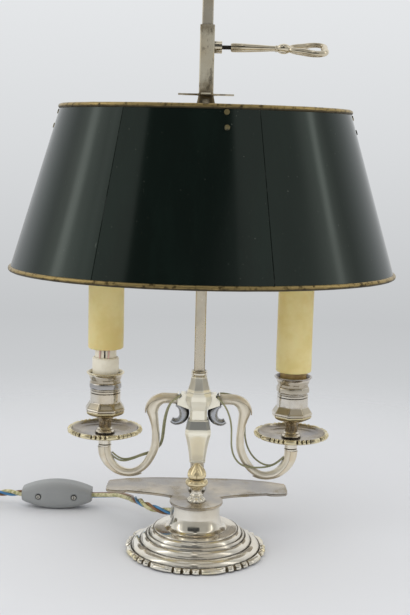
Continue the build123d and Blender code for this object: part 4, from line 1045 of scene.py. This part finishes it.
upward = [row / ROWS for row in range(ROWS + 1)]
shade = Shape().skin(shade_rows(0, upward))
# painted reflection: the narrow column at each fold gets the dark fold line
for fold in creases:
    column = SHADE_ANGLES.index(fold - CREASE)
    for row in range(ROWS):
        shade.kinds[row * len(SHADE_ANGLES) + column] = 2
shade.skin(shade_rows(SHADE_WALL, upward), kind=1)
for share in (0, 1):
    shade.skin(shade_rows(0, [share]) + shade_rows(SHADE_WALL, [share]), kind=1)
shade.build("oval_shade", ["enamel", "lining", "crease"], ["shade_shell"], "shade", "shade_paint", sharp=60)


def bead(name, node, half, finish):
    """A round bar along the middle of the sheet's edge, which has the given half lengths."""
    low, high = span(node)
    z = 0.5 * (low.z + high.z)
    loops = []
    for column in range(COLUMNS):
        angle = TURN * column / COLUMNS
        middle = Vector(((half.x - SHADE_WALL / 2) * cos(angle), (half.y - SHADE_WALL / 2) * sin(angle), z))
        out = Vector((cos(angle) / half.x, sin(angle) / half.y, 0)).normalized()
        swell = BEAD_R * (1 + 0.05 * noise.noise(Vector((cos(angle) * 9, sin(angle) * 9, z))))
        loops.append(circle(middle, out, UP, swell, BEAD_SIDES))
    Shape().skin(loops, ring=True).build(name, [finish], [node], "shade", "shade_gilt")


bead("rolled_edge_bottom", "shade_bead_bottom", SHADE_FOOT, "gilt_low")
bead("rolled_edge_top", "shade_bead_top", SHADE_TOP, "gilt_high")

# %% [markdown]
# ## Arms and scrolls
# The arms are castings with an oval section that swells at the leaf on the shoulder and again under
# the pan. A list of stations gives the bend: how far out, how high, how thick in the plane of the bend
# and how deep. A smooth line runs through all four numbers at once, so thickness changes as softly as
# the bend does. A ridge along the outer side is the cast leaf's spine.

# %% Arms
ARM_STATIONS = [
    (19.8, 133.3, 4.6, 4.6), (27.0, 133.5, 4.3, 4.6), (34.2, 133.2, 4.6, 4.8), (40.6, 129.2, 5.4, 4.9),
    (43.4, 122.6, 5.5, 4.8), (42.2, 115.6, 4.3, 4.2), (40.6, 107.0, 3.5, 3.9), (39.8, 97.0, 3.5, 3.8),
    (40.5, 86.6, 3.7, 3.8), (44.2, 77.2, 3.7, 3.8), (50.0, 68.6, 3.5, 3.8), (57.6, 63.0, 3.3, 3.8),
    (66.2, 61.6, 3.4, 4.0), (75.2, 64.4, 4.0, 4.4), (82.4, 70.9, 4.8, 5.0), (86.4, 78.6, 5.4, 5.5),
    (87.5, 86.8, 5.65, 5.65)]
SCROLL_STATIONS = [
    (20.8, 128.6, 2.2, 4.4), (16.6, 126.6, 3.6, 5.2), (13.8, 122.2, 4.6, 5.4), (14.0, 117.0, 4.3, 5.0),
    (17.2, 113.0, 3.6, 4.4), (21.6, 111.8, 3.2, 3.8), (25.0, 113.4, 2.7, 3.2)]
BAR_SIDES = 28
RIDGE = 0.08           # how far the leaf's spine stands out, as a share of the bar's thickness
EASE = 6               # points of a bar's line for each station
LEAVES = ((0, 26, -1), (96, 64, 1))     # rows of the line from a leaf's root to its tip, and its side
LEAF_WRAP, TIP_WRAP = radians(88), 0.05     # half the angles that a leaf covers at its root and its tip
LEAF_THICK, LEAF_VEIN, LEAF_FLARE = 0.7, 0.35, 0.6
LEAF_CURL = 0.75       # from this part of its length on, the leaf bends away from the arm
LEAF_HALF = 6          # columns on each side of the leaf's vein


def square_to(line, index):
    """The direction square to a bar's line at one of its rows, in the plane of the bend."""
    before, after = line[max(index - 1, 0)], line[min(index + 1, len(line) - 1)]
    along = Vector((after[0] - before[0], 0, after[1] - before[1])).normalized()
    return Vector((along.z, 0, -along.x))


def cast_bar(stations, sign):
    """A bar of oval section through (out, height, half thickness, half depth) stations."""
    line = eased(stations, EASE)
    loops = []
    for index, (out, height, thick, deep) in enumerate(line):
        across = square_to(line, index)
        loop = []
        for step in range(BAR_SIDES):
            angle = TURN * step / BAR_SIDES
            spine = 1 + RIDGE * max(cos(angle), 0) ** 12
            point = Vector((out, 0, height)) + across * cos(angle) * thick * spine
            loop.append((sign * point.x, deep * sin(angle), point.z))
        loops.append(loop)
    return Shape().skin(loops, lids=True)


def add_leaf(shape, sign, begin, end, turned):
    """A cast leaf on the outer side of the arm, which narrows to a tip that stands off a little."""
    line = eased(ARM_STATIONS, EASE)
    step = 1 if end > begin else -1
    loops = []
    for index in range(begin, end + step, step):
        share = (index - begin) / (end - begin)
        wide = LEAF_WRAP * (1 - share ** 2.6) + TIP_WRAP
        curl = max(share - LEAF_CURL, 0) / (1 - LEAF_CURL)
        stand = LEAF_THICK + LEAF_FLARE * curl ** 1.5
        under = (stand + 0.2) * curl - 0.6
        across = square_to(line, index) * turned
        out, height, thick, deep = line[index]
        columns = range(-LEAF_HALF, LEAF_HALF + 1)
        loop = []
        for layer, order, upper in ((stand, columns, True), (under, reversed(columns), False)):
            for column in order:
                angle = wide * column / LEAF_HALF
                vein = LEAF_VEIN * max(1 - abs(column) / 1.5, 0) if upper else 0
                edge = 1 - 0.5 * (abs(column) / LEAF_HALF) ** 4 if upper else 1
                raised = layer * edge + vein
                point = Vector((out, 0, height)) + across * cos(angle) * (thick + raised)
                loop.append((sign * point.x, (deep + raised) * sin(angle), point.z))
        loops.append(loop)
    shape.skin(loops, lids=True)


for side, sign in SIDES.items():
    arm = cast_bar(ARM_STATIONS, sign)
    for leaf in LEAVES:
        add_leaf(arm, sign, *leaf)
    arm.build(f"cast_arm_{side}", ["satin_silver"], [f"arm_{side}"])
    cast_bar(SCROLL_STATIONS, sign).build(f"leaf_scroll_{side}", ["scroll_silver"], [f"scroll_{side}"])

# %% [markdown]
# ## The stem
# Column, vase and bell are square blocks whose corners were filed flat, so each level is an eight
# sided loop: a half width, and how much of it the corner takes. Straight rows keep the crisp steps, an
# eased list makes the swelling of the vase, and a Bevel modifier breaks the sharp edges as wear does.

# %% Stem
REGULAR = 0.586         # the corner's share that makes all eight sides equal


def filed(levels, base):
    """Eight sided loops through (height above a base, half width, share that the corner takes)."""
    loops = []
    for height, half, share in levels:
        z = base + height
        cut = half * share
        loop = []
        for sx, sy in ((1, 1), (-1, 1), (-1, -1), (1, -1)):
            pair = [(sx * half, sy * (half - cut), z), (sx * (half - cut), sy * half, z)]
            loop += pair if sx * sy > 0 else pair[::-1]
        loops.append(loop)
    return loops


plate_top = span("plate")[1].z
vase_low, vase_high = span("lower_vase")
column_high = vase_low.z - plate_top
column = [(height, half, 0.12) for height, half in (
    (0, 7.6), (1.4, 7.6), (2.0, 7.0), (3.8, 6.4), (column_high - 7.2, 6.3), (column_high - 6.8, 5.6),
    (column_high - 6.2, 5.6), (column_high - 5.8, 6.3), (column_high - 1.8, 6.4), (column_high, 6.8))]
Shape().skin(filed(column, plate_top), lids=True).build(
    "square_column", ["silver"], ["column_foot"], sharp=28, bevel=0.35)
rise = vase_high.z - vase_low.z
vase = (
    [(0, 7.2, 0.3), (1.0, 7.6, 0.3), (1.8, 7.2, 0.3)]
    + eased([(2.2, 7.4, 0.3), (0.3 * rise, 8.7, 0.29), (0.5 * rise, 10.2, 0.27), (0.66 * rise, 11.8, 0.26),
             (0.72 * rise, 12.0, 0.26), (0.78 * rise, 11.7, 0.27), (0.84 * rise, 11.1, 0.27),
             (0.9 * rise, 10.45, 0.28), (0.96 * rise, 9.75, 0.29), (0.985 * rise, 9.4, 0.3),
             (rise, 8.8, 0.3)], 4))
Shape().skin(filed(vase, vase_low.z), lids=True).build(
    "filed_vase", ["vase_silver"], ["lower_vase"], sharp=28, bevel=0.45)
tall = bell_high - bell_low
curve = eased([(1.5, 10.6), (0.2 * tall, 9.9), (0.35 * tall, 9.25), (0.6 * tall, 8.3), (0.8 * tall, 7.65),
               (tall, 7.05)])
bell = [(0, 11.0, 0.58)] + [(height, half, REGULAR) for height, half in [(1.2, 10.9), *curve]]
Shape().skin(filed(bell, bell_low), lids=True).build(
    "filed_bell", ["vase_silver"], ["bell"], sharp=28, bevel=0.35)

# %% [markdown]
# ## The acorn
# A small cast acorn closes the rod of the foot. Its cup and its own little foot are rings of petals,
# and the nut has a raised leaf on each of four sides. All of it is lathe work with lobes, like the rim
# of the foot, but here the number of lobes changes with the height.

# %% Acorn
finial_low, finial_high = span("acorn_finial")
ACORN_Y = 0.5 * (finial_low.y + finial_high.y)
NECK = neck_low - acorn_low             # heights of the acorn's parts above its foot
NUT = NECK + 16.2
TIP = finial_high.z - acorn_low
LEAF_LOW, LEAF_HIGH = 0.06, 0.78        # part of the nut's height that its four leaves cover
LEAF_ROOT = 0.62                        # half the angle that a leaf covers at its root, in radians
LEAF_EDGE, VEIN_HALF = 0.12, 0.09       # angles in which its edge rises and its vein sinks


def petals(angle, radius, height, depth, count):
    """Lobes of a depth; a count below 0 gives the nut its four pointed leaves instead."""
    if count >= 0:
        swing = abs(cos(count * angle / 2)) if count else 1
        return radius - depth * (1 - sqrt(swing)), height
    share = (height - NUT) / (TIP - NUT)
    up = (share - LEAF_LOW) / (LEAF_HIGH - LEAF_LOW)
    across = (angle + pi / 4) % (pi / 2) - pi / 4
    half = LEAF_ROOT * (1 - max(up, 0) ** 1.7) if up < 1 else 0
    raised = held((half - abs(across)) / LEAF_EDGE) * held(up / 0.08)
    vein = max(1 - abs(across) / VEIN_HALF, 0) * 0.8
    return radius + depth * raised * (0.7 - vein), height


nut_rows = eased([
    (7.0, NUT), (7.8, NUT + 1.8), (8.0, NUT + 4.0), (7.2, NUT + 6.8), (5.6, NUT + 9.6), (3.8, NUT + 12.0),
    (2.1, NUT + 13.8), (1.1, TIP - 1.2), (0.9, TIP - 0.4), (0.3, TIP)])
acorn = (
    eased([(4.0, 0, 0, 0), (7.9, 0, 0.2, 8), (8.3, 1.0, 1.3, 8), (7.4, 2.3, 1.5, 8), (5.9, 3.6, 1.0, 8),
           (5.0, 4.6, 0.2, 8)], 4)
    + eased([(5.6, NECK, 0, 0), (5.8, NECK + 0.6, 0, 0), (5.2, NECK + 1.2, 0, 0)], 3)
    + eased([(4.9, NECK + 1.8, 0.2, 10), (4.6, NECK + 3.4, 0.2, 10), (4.8, NECK + 5.6, 0.2, 10),
             (5.8, NECK + 7.6, 0.4, 8), (8.2, NECK + 9.2, 0.5, 8), (9.8, NECK + 10.8, 0.6, 8),
             (10.3, NECK + 12.6, 0.6, 8), (9.6, NECK + 14.6, 0.5, 8), (7.4, NECK + 16.0, 0.3, 8)])
    + [(radius, height, 0.9, -1) for radius, height in nut_rows])
Shape().skin(spun(acorn, Vector((0, ACORN_Y, acorn_low)), ROUND_STEPS, petals), lids=True).build(
    "acorn_cast", ["acorn_silver"], ["acorn_finial", "acorn_foot"], sharp=60)

# %% [markdown]
# ## The drum
# The drum is a short tube that was spun out at its foot, so that it could be soldered to the round
# foot. It is the same lathe work again: a lid at each end, and one eased profile between them.

# %% Drum
drum_low, drum_high = span("drum")
tall = drum_high.z - drum_low.z
drum = eased([
    (28.4, 0), (27.6, 0.7), (25.6, 1.9), (24.2, 3.6), (23.1, 6.6), (22.2, 10.4), (21.7, 14.2),
    (21.8, tall - 1.5), (22.2, tall)])
Shape().skin(spun(drum, Vector((0, FOOT_Y, drum_low.z)), ROUND_STEPS), lids=True).build(
    "spun_drum", ["drum_silver"], ["drum"], sharp=40)

# %% [markdown]
# ## The contoured plate
# The plate joins the foot to the stem. Its outline is a long wing on each side with a waved edge, and
# a round lobe in front over the drum. The outline is drawn once for one side and mirrored. Nine loops
# of it, pulled in a little at the top and bottom, round the lip over. A flat face with so many corners
# shades badly as one polygon, so both faces are covered with small triangles.

# %% Plate
plate_low, plate_high = span("plate")
WING = plate_high.x
half_outline = (
    eased([(0.0, 32.0), (38.0, 31.4), (66.0, 26.5), (WING - 1.6, 19.5)], 8)
    + eased([(WING - 1.4, 19.0), (WING - 0.2, 15.5), (WING - 0.8, 12.4)], 4)
    + eased([(WING - 0.6, 12.0), (WING, 8.4), (WING - 0.4, 5.2)], 4)
    + eased([(WING - 0.2, 4.8), (WING + 0.2, 1.0), (WING - 0.6, -2.8)], 4)
    + eased([(WING - 0.6, -3.2), (WING - 0.2, -6.6), (WING - 1.4, -10.0)], 4)
    + eased([(WING - 2.0, -10.4), (76.5, -12.4), (70.0, -12.6), (66.0, -11.0)], 4)
    + eased([(65.4, -11.2), (56.0, -13.2), (44.0, -16.0), (32.0, -19.6), (24.0, -23.6)], 5))
LOBE_R, LOBE_STEPS = 24.5, 24           # the round lobe over the drum, from the wing to the front
LOBE_BEGIN = asin(10.4 / LOBE_R)
for step in range(LOBE_STEPS + 1):
    angle = LOBE_BEGIN - step * (LOBE_BEGIN + pi / 2) / LOBE_STEPS
    half_outline.append((LOBE_R * cos(angle), FOOT_Y + LOBE_R * sin(angle)))
whole_outline = half_outline + [(-x, y) for x, y in reversed(half_outline[1:-1])]


def inset(outline, amount):
    """The outline, which runs clockwise from above, moved inwards by an amount."""
    moved = []
    for index, (x, y) in enumerate(outline):
        before, after = outline[index - 1], outline[(index + 1) % len(outline)]
        along = Vector((after[0] - before[0], after[1] - before[1])).normalized()
        moved.append((x + along.y * amount, y - along.x * amount))
    return moved


COVER_STEP = 6
COVER_X, COVER_Y = range(-78, 79, COVER_STEP), range(-46, 31, COVER_STEP)


def cover(shape, outline):
    """A flat face inside an outline, in triangles of nearly equal size."""
    grid = [Vector((x, y)) for x in COVER_X for y in COVER_Y]
    edge = [Vector(point[:2]) for point in outline]
    points, _, faces, *_ = delaunay_2d_cdt(edge + grid, [], [list(range(len(edge)))], 1, 1e-4)
    first = len(shape.points)
    shape.points += [Vector((point.x, point.y, outline[0][2])) for point in points]
    shape.faces += [[first + corner for corner in face] for face in faces]
    shape.kinds += [0] * len(faces)


PLATE_LEVELS = ((plate_low.z, 0.7), (plate_low.z + 0.35, 0.2), (plate_low.z + 0.9, 0.0),
                (plate_high.z - 0.4, 0.0), (plate_high.z + 0.1, 0.2), (plate_high.z + 0.35, 0.6),
                (plate_high.z + 0.35, 1.1), (plate_high.z + 0.1, 1.6), (plate_high.z, 2.1))
plate_loops = [[(x, y, z) for x, y in inset(whole_outline, amount)] for z, amount in PLATE_LEVELS]
plate = Shape().skin(plate_loops)
for loop in (plate_loops[0], plate_loops[-1]):
    cover(plate, loop)
plate.build("contoured_plate", ["plate_silver"], ["plate"], sharp=30)

# %% [markdown]
# ## Wires on the arms
# Thin olive wires leave the hub through a hole in each ear, hang beside the arm and go into it again
# under the pan. They are held at both ends, so each is a round tube along one plain NURBS curve.

# %% Wires
WIRE_D = 1.7
PAIR = (0.75, 0.4, 0.75)        # how far each wire of the left pair lies from the middle of the two
left_route = [
    (-17.7, -1.2, 137.8), (-17.8, -9.4, 137.8), (-24.6, -10.6, 134.2), (-28.6, -8.2, 126.4),
    (-31.2, -6.4, 115.6), (-32.4, -3.4, 104.0), (-33.4, 0.6, 93.4), (-36.4, 5.0, 84.6), (-43.4, 6.6, 79.6),
    (-52.4, 4.8, 77.4), (-60.8, 2.2, 74.4), (-68.8, 0.6, 72.6), (-76.0, 0.0, 74.6), (-81.4, 0.0, 79.8)]
right_routes = [
    [(17.7, -1.2, 137.8), (17.8, -9.6, 137.2), (24.4, -10.0, 130.6), (29.0, -7.6, 120.4),
     (31.2, -5.6, 109.6), (31.4, -4.6, 99.0), (31.6, -4.8, 89.0), (34.4, -5.6, 79.6), (40.6, -5.8, 72.6),
     (49.4, -5.4, 70.4), (58.6, -4.4, 70.0), (67.8, -3.4, 71.0), (75.8, -1.8, 74.6), (81.4, -0.9, 79.8)],
    [(17.7, 1.2, 137.8), (17.8, 9.4, 137.6), (26.0, 9.6, 137.4), (36.0, 7.6, 135.4), (43.8, 7.0, 129.4),
     (45.4, 7.0, 121.6), (44.2, 6.8, 111.0), (44.0, 6.6, 100.4), (45.8, 6.4, 89.6), (50.6, 6.2, 79.6),
     (57.8, 6.0, 72.6), (66.2, 5.6, 69.0), (74.0, 4.0, 71.2), (81.4, 0.9, 79.8)]]
left_routes = [
    [tuple(at + sign * off for at, off in zip(point, PAIR)) for point in left_route] for sign in (-1, 1)]


def tube_along(shape, line, radius, sides=12, kind=0):
    """A round tube along a line in millimetres; radius is a number or a function of the way along."""
    rows = carried(line)
    loops = []
    for index, (point, _, side, across) in enumerate(rows):
        size = radius(index / (len(rows) - 1)) if callable(radius) else radius
        loops.append(circle(point, side, across, size, sides))
    shape.skin(loops, kind, lids=True)


for side, routes in (("left", left_routes), ("right", right_routes)):
    wires = Shape()
    for number, route in enumerate(routes):
        line = [point * 1000 for point in line_of(nurbs(f"wire_route_{side}_{number}", route))]
        tube_along(wires, line, WIRE_D / 2)
    wires.build(f"arm_wires_{side}", ["wire"], [f"wires_{side}"], slot="wire_olive")

# %% [markdown]
# ## The clamp screw
# This screw holds the shade at its height. It has a dark thread, a shank that gets thinner, a bead and
# a bow to turn it by. The bow is a bar bent into three lobes: a circle whose radius swings three
# times round, which a formula gives better than any list of points.

# %% Clamp screw
SCREW_X = span("clamp_screw")[0].x
SCREW_Z = span("slider_tube")[0].z + 41.0
SHANK = ((20.8, 2.0), (21.2, 3.5), (23.0, 4.0), (34.0, 3.8), (46.0, 3.2), (56.0, 2.6), (60.6, 2.5))
BEAD_ROW = ((60.8, 2.9), (61.8, 3.1), (62.4, 2.7), (63.0, 2.9), (65.2, 4.1), (68.4, 4.6), (71.4, 4.0),
            (73.6, 2.9), (74.2, 2.5), (75.4, 2.6), (76.2, 2.1))
PITCH, THREAD_R, THREAD_CUT = 0.8, 2.0, 0.35
SCREW_STEPS = 32
BOW_X, BOW_LONG, BOW_WIDE, BOW_ROD = 92.0, 15.2, 9.2, 2.5
BOW_LOBE = 0.2
BOW_TILT = radians(27)
BOW_STEPS = 96
THREAD_ROWS = 8         # rows in one turn of the thread


def lying(profile):
    """Loops of a piece turned about the screw's line, which runs along X."""
    return [circle(Vector((x, 0, SCREW_Z)), BACK, UP, radius, SCREW_STEPS) for x, radius in profile]


def thread(begin, end):
    """Rows of a screw thread, as fine rings."""
    rows = int((end - begin) / PITCH * THREAD_ROWS)
    return [(begin + (end - begin) * i / rows,
             THREAD_R - THREAD_CUT * (0.5 - 0.5 * cos(TURN * i / THREAD_ROWS))) for i in range(rows + 1)]


def bow_radius(share):
    """The bar of the bow is a little thicker between its lobes and on one side."""
    return BOW_ROD * (1 + 0.2 * sin(3 * pi * share) ** 2 + 0.14 * sin(TURN * share))


clamp = Shape()
clamp.skin(lying(thread(SCREW_X, SHANK[0][0])), kind=1, lids=True)
clamp.skin(lying(list(SHANK) + eased(BEAD_ROW, 4)), lids=True)
bow = []
for step in range(BOW_STEPS + 1):
    angle = pi + TURN * step / BOW_STEPS
    reach = 1 - BOW_LOBE * cos(3 * angle)
    out, wide = BOW_LONG * reach * cos(angle), BOW_WIDE * reach * sin(angle)
    bow.append((BOW_X + out, wide * cos(BOW_TILT), SCREW_Z + wide * sin(BOW_TILT)))
tube_along(clamp, bow, bow_radius, 16)
clamp.build("bow_clamp_screw", ["screw_silver", "screw_dark"], ["clamp_screw"], "clamp", sharp=50)

# %% [markdown]
# ## Inside the lamp holders
# Below the raised tube the holder shows its wires: two thin tails run from the base up to brass
# terminals. Each is a short curve just off the neck, and stays inside the bore of the sliding tube.

# %% Holder tails
NECK_R = 9.9
TAIL_R = 0.75
TAIL_TURNS = (-2.05, -1.25, 1.3)      # where the tails stand, in radians; -pi/2 is the front
TAIL_LEAN = 0.22
TAIL_LONG = 30
TAIL_ROWS = ((0, 0.2), (0.15, 0.9), (0.4, 1.3), (0.7, 1.2), (1, 0.7))     # share of its length, off the neck
TERMINAL_R, TERMINAL_LONG = 1.1, 3.2


def tail(centre, turn, base):
    """A tail that leaves the base, leans as it rises and ends in a terminal."""
    points = []
    for share, away_from_neck in TAIL_ROWS:
        angle = turn + TAIL_LEAN * share
        radius = NECK_R + TAIL_R * away_from_neck
        points.append((centre + radius * cos(angle), radius * sin(angle), base - 1 + TAIL_LONG * share))
    return points


for side in SIDES:
    base = span(f"holder_base_{side}")[1].z
    tails = Shape()
    for turn in TAIL_TURNS:
        path = tail(seat(f"holder_base_{side}").x, turn, base)
        tube_along(tails, eased(path), TAIL_R, 10)
        tube_along(tails, [path[-1], Vector(path[-1]) + UP * TERMINAL_LONG], TERMINAL_R, kind=1)
    tails.build(f"holder_tails_{side}", ["tail_pink", "pin"], slot="holder_white")

# %% [markdown]
# ## Screws of the switch
# The screw heads sit in wells. Each is a low dome with a cross slot, made as a round grid whose
# points sink where the slot is.

# %% Switch screw heads
HEAD_R, HEAD_DOME = 2.2, 0.45
HEAD_RINGS, HEAD_COLUMNS = 12, 64
SLOT_HALF, SLOT_DEEP, SLOT_REACH = 0.36, 0.7, 0.75 * HEAD_R
head_y = span("switch_screws")[0].y + 0.1

heads = Shape()
for sign in SIDES.values():
    middle = Vector((SWITCH.x + sign * SCREW_AT, head_y, SWITCH.z))
    loops = [circle(middle + BACK * SLOT_DEEP, EAST, UP, HEAD_R, HEAD_COLUMNS)]
    for ring in range(HEAD_RINGS):
        radius = HEAD_R * (1 - ring / HEAD_RINGS)
        dome = HEAD_DOME * (1 - (radius / HEAD_R) ** 2)
        loop = []
        for point in circle(middle - BACK * dome, EAST, UP, radius, HEAD_COLUMNS):
            off = point - middle
            in_slot = min(abs(off.x), abs(off.z)) < SLOT_HALF and radius < SLOT_REACH
            loop.append(point + BACK * SLOT_DEEP if in_slot else point)
        loops.append(loop)
    heads.skin(loops, lids=True)
heads.build("switch_screw_heads", ["screw_light"], slot="steel", sharp=30)

# %% [markdown]
# ## Solids that stay as measured
# Many pieces are right as they come from the frame: nuts, rods, straps, rivets, the slider, the holders
# and the bulbs. None of their points moves, they only get smooth shading and a finish.

# %% Finishes of the measured solids
AS_MEASURED = {
    "slider_silver": ["slider_tube", "carrier_cross"],
    "silver": ["rod_collar", "pan_collar_left", "pan_collar_right", "rod_finial"],
    "vase_silver": ["hub"],
    "rod_silver": ["rod"],
    "strap": ["shade_straps"],
    "rivet": ["shade_rivets"],
    "holder": ["holder_base_left", "holder_body_left", "holder_body_right"],
    # painted shade on the right holder's base
    "holder_aged": ["holder_base_right"],
    "glass": ["bulb_left", "bulb_right"],
    "cap": ["bulb_caps"],
    "steel": ["base_tie_rod", "stem_tie_rod", "base_nuts", "arm_studs", "nipples"],
    "iron": ["foot_ballast"],
    "baize": ["base_felt"],
    "rubber": ["cord_grommet"],
    "switch": ["switch_back", "switch_rocker"],
    "screw_dark": ["switch_screws"],
    "plug": ["plug_body"],
    "pin": ["plug_pins"],
    "strap_tie": ["cord_tie"],
}
finished = 0
for finish, names in AS_MEASURED.items():
    for name in names:
        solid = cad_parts[name]
        solid.data.materials.clear()
        solid.data.materials.append(FINISH[finish])
        solid.data.shade_smooth()
        solid.data.set_sharp_from_angle(angle=radians(32))
        finished += 1
print(finished, "solids finished")

# %% [markdown]
# The points of the lead's line are listed as tuples, and the view layer is brought up to date.

# %% The lead's points
tuple(lead_line[0])
[tuple(point) for point in lead_line]
bpy.context.view_layer.update()
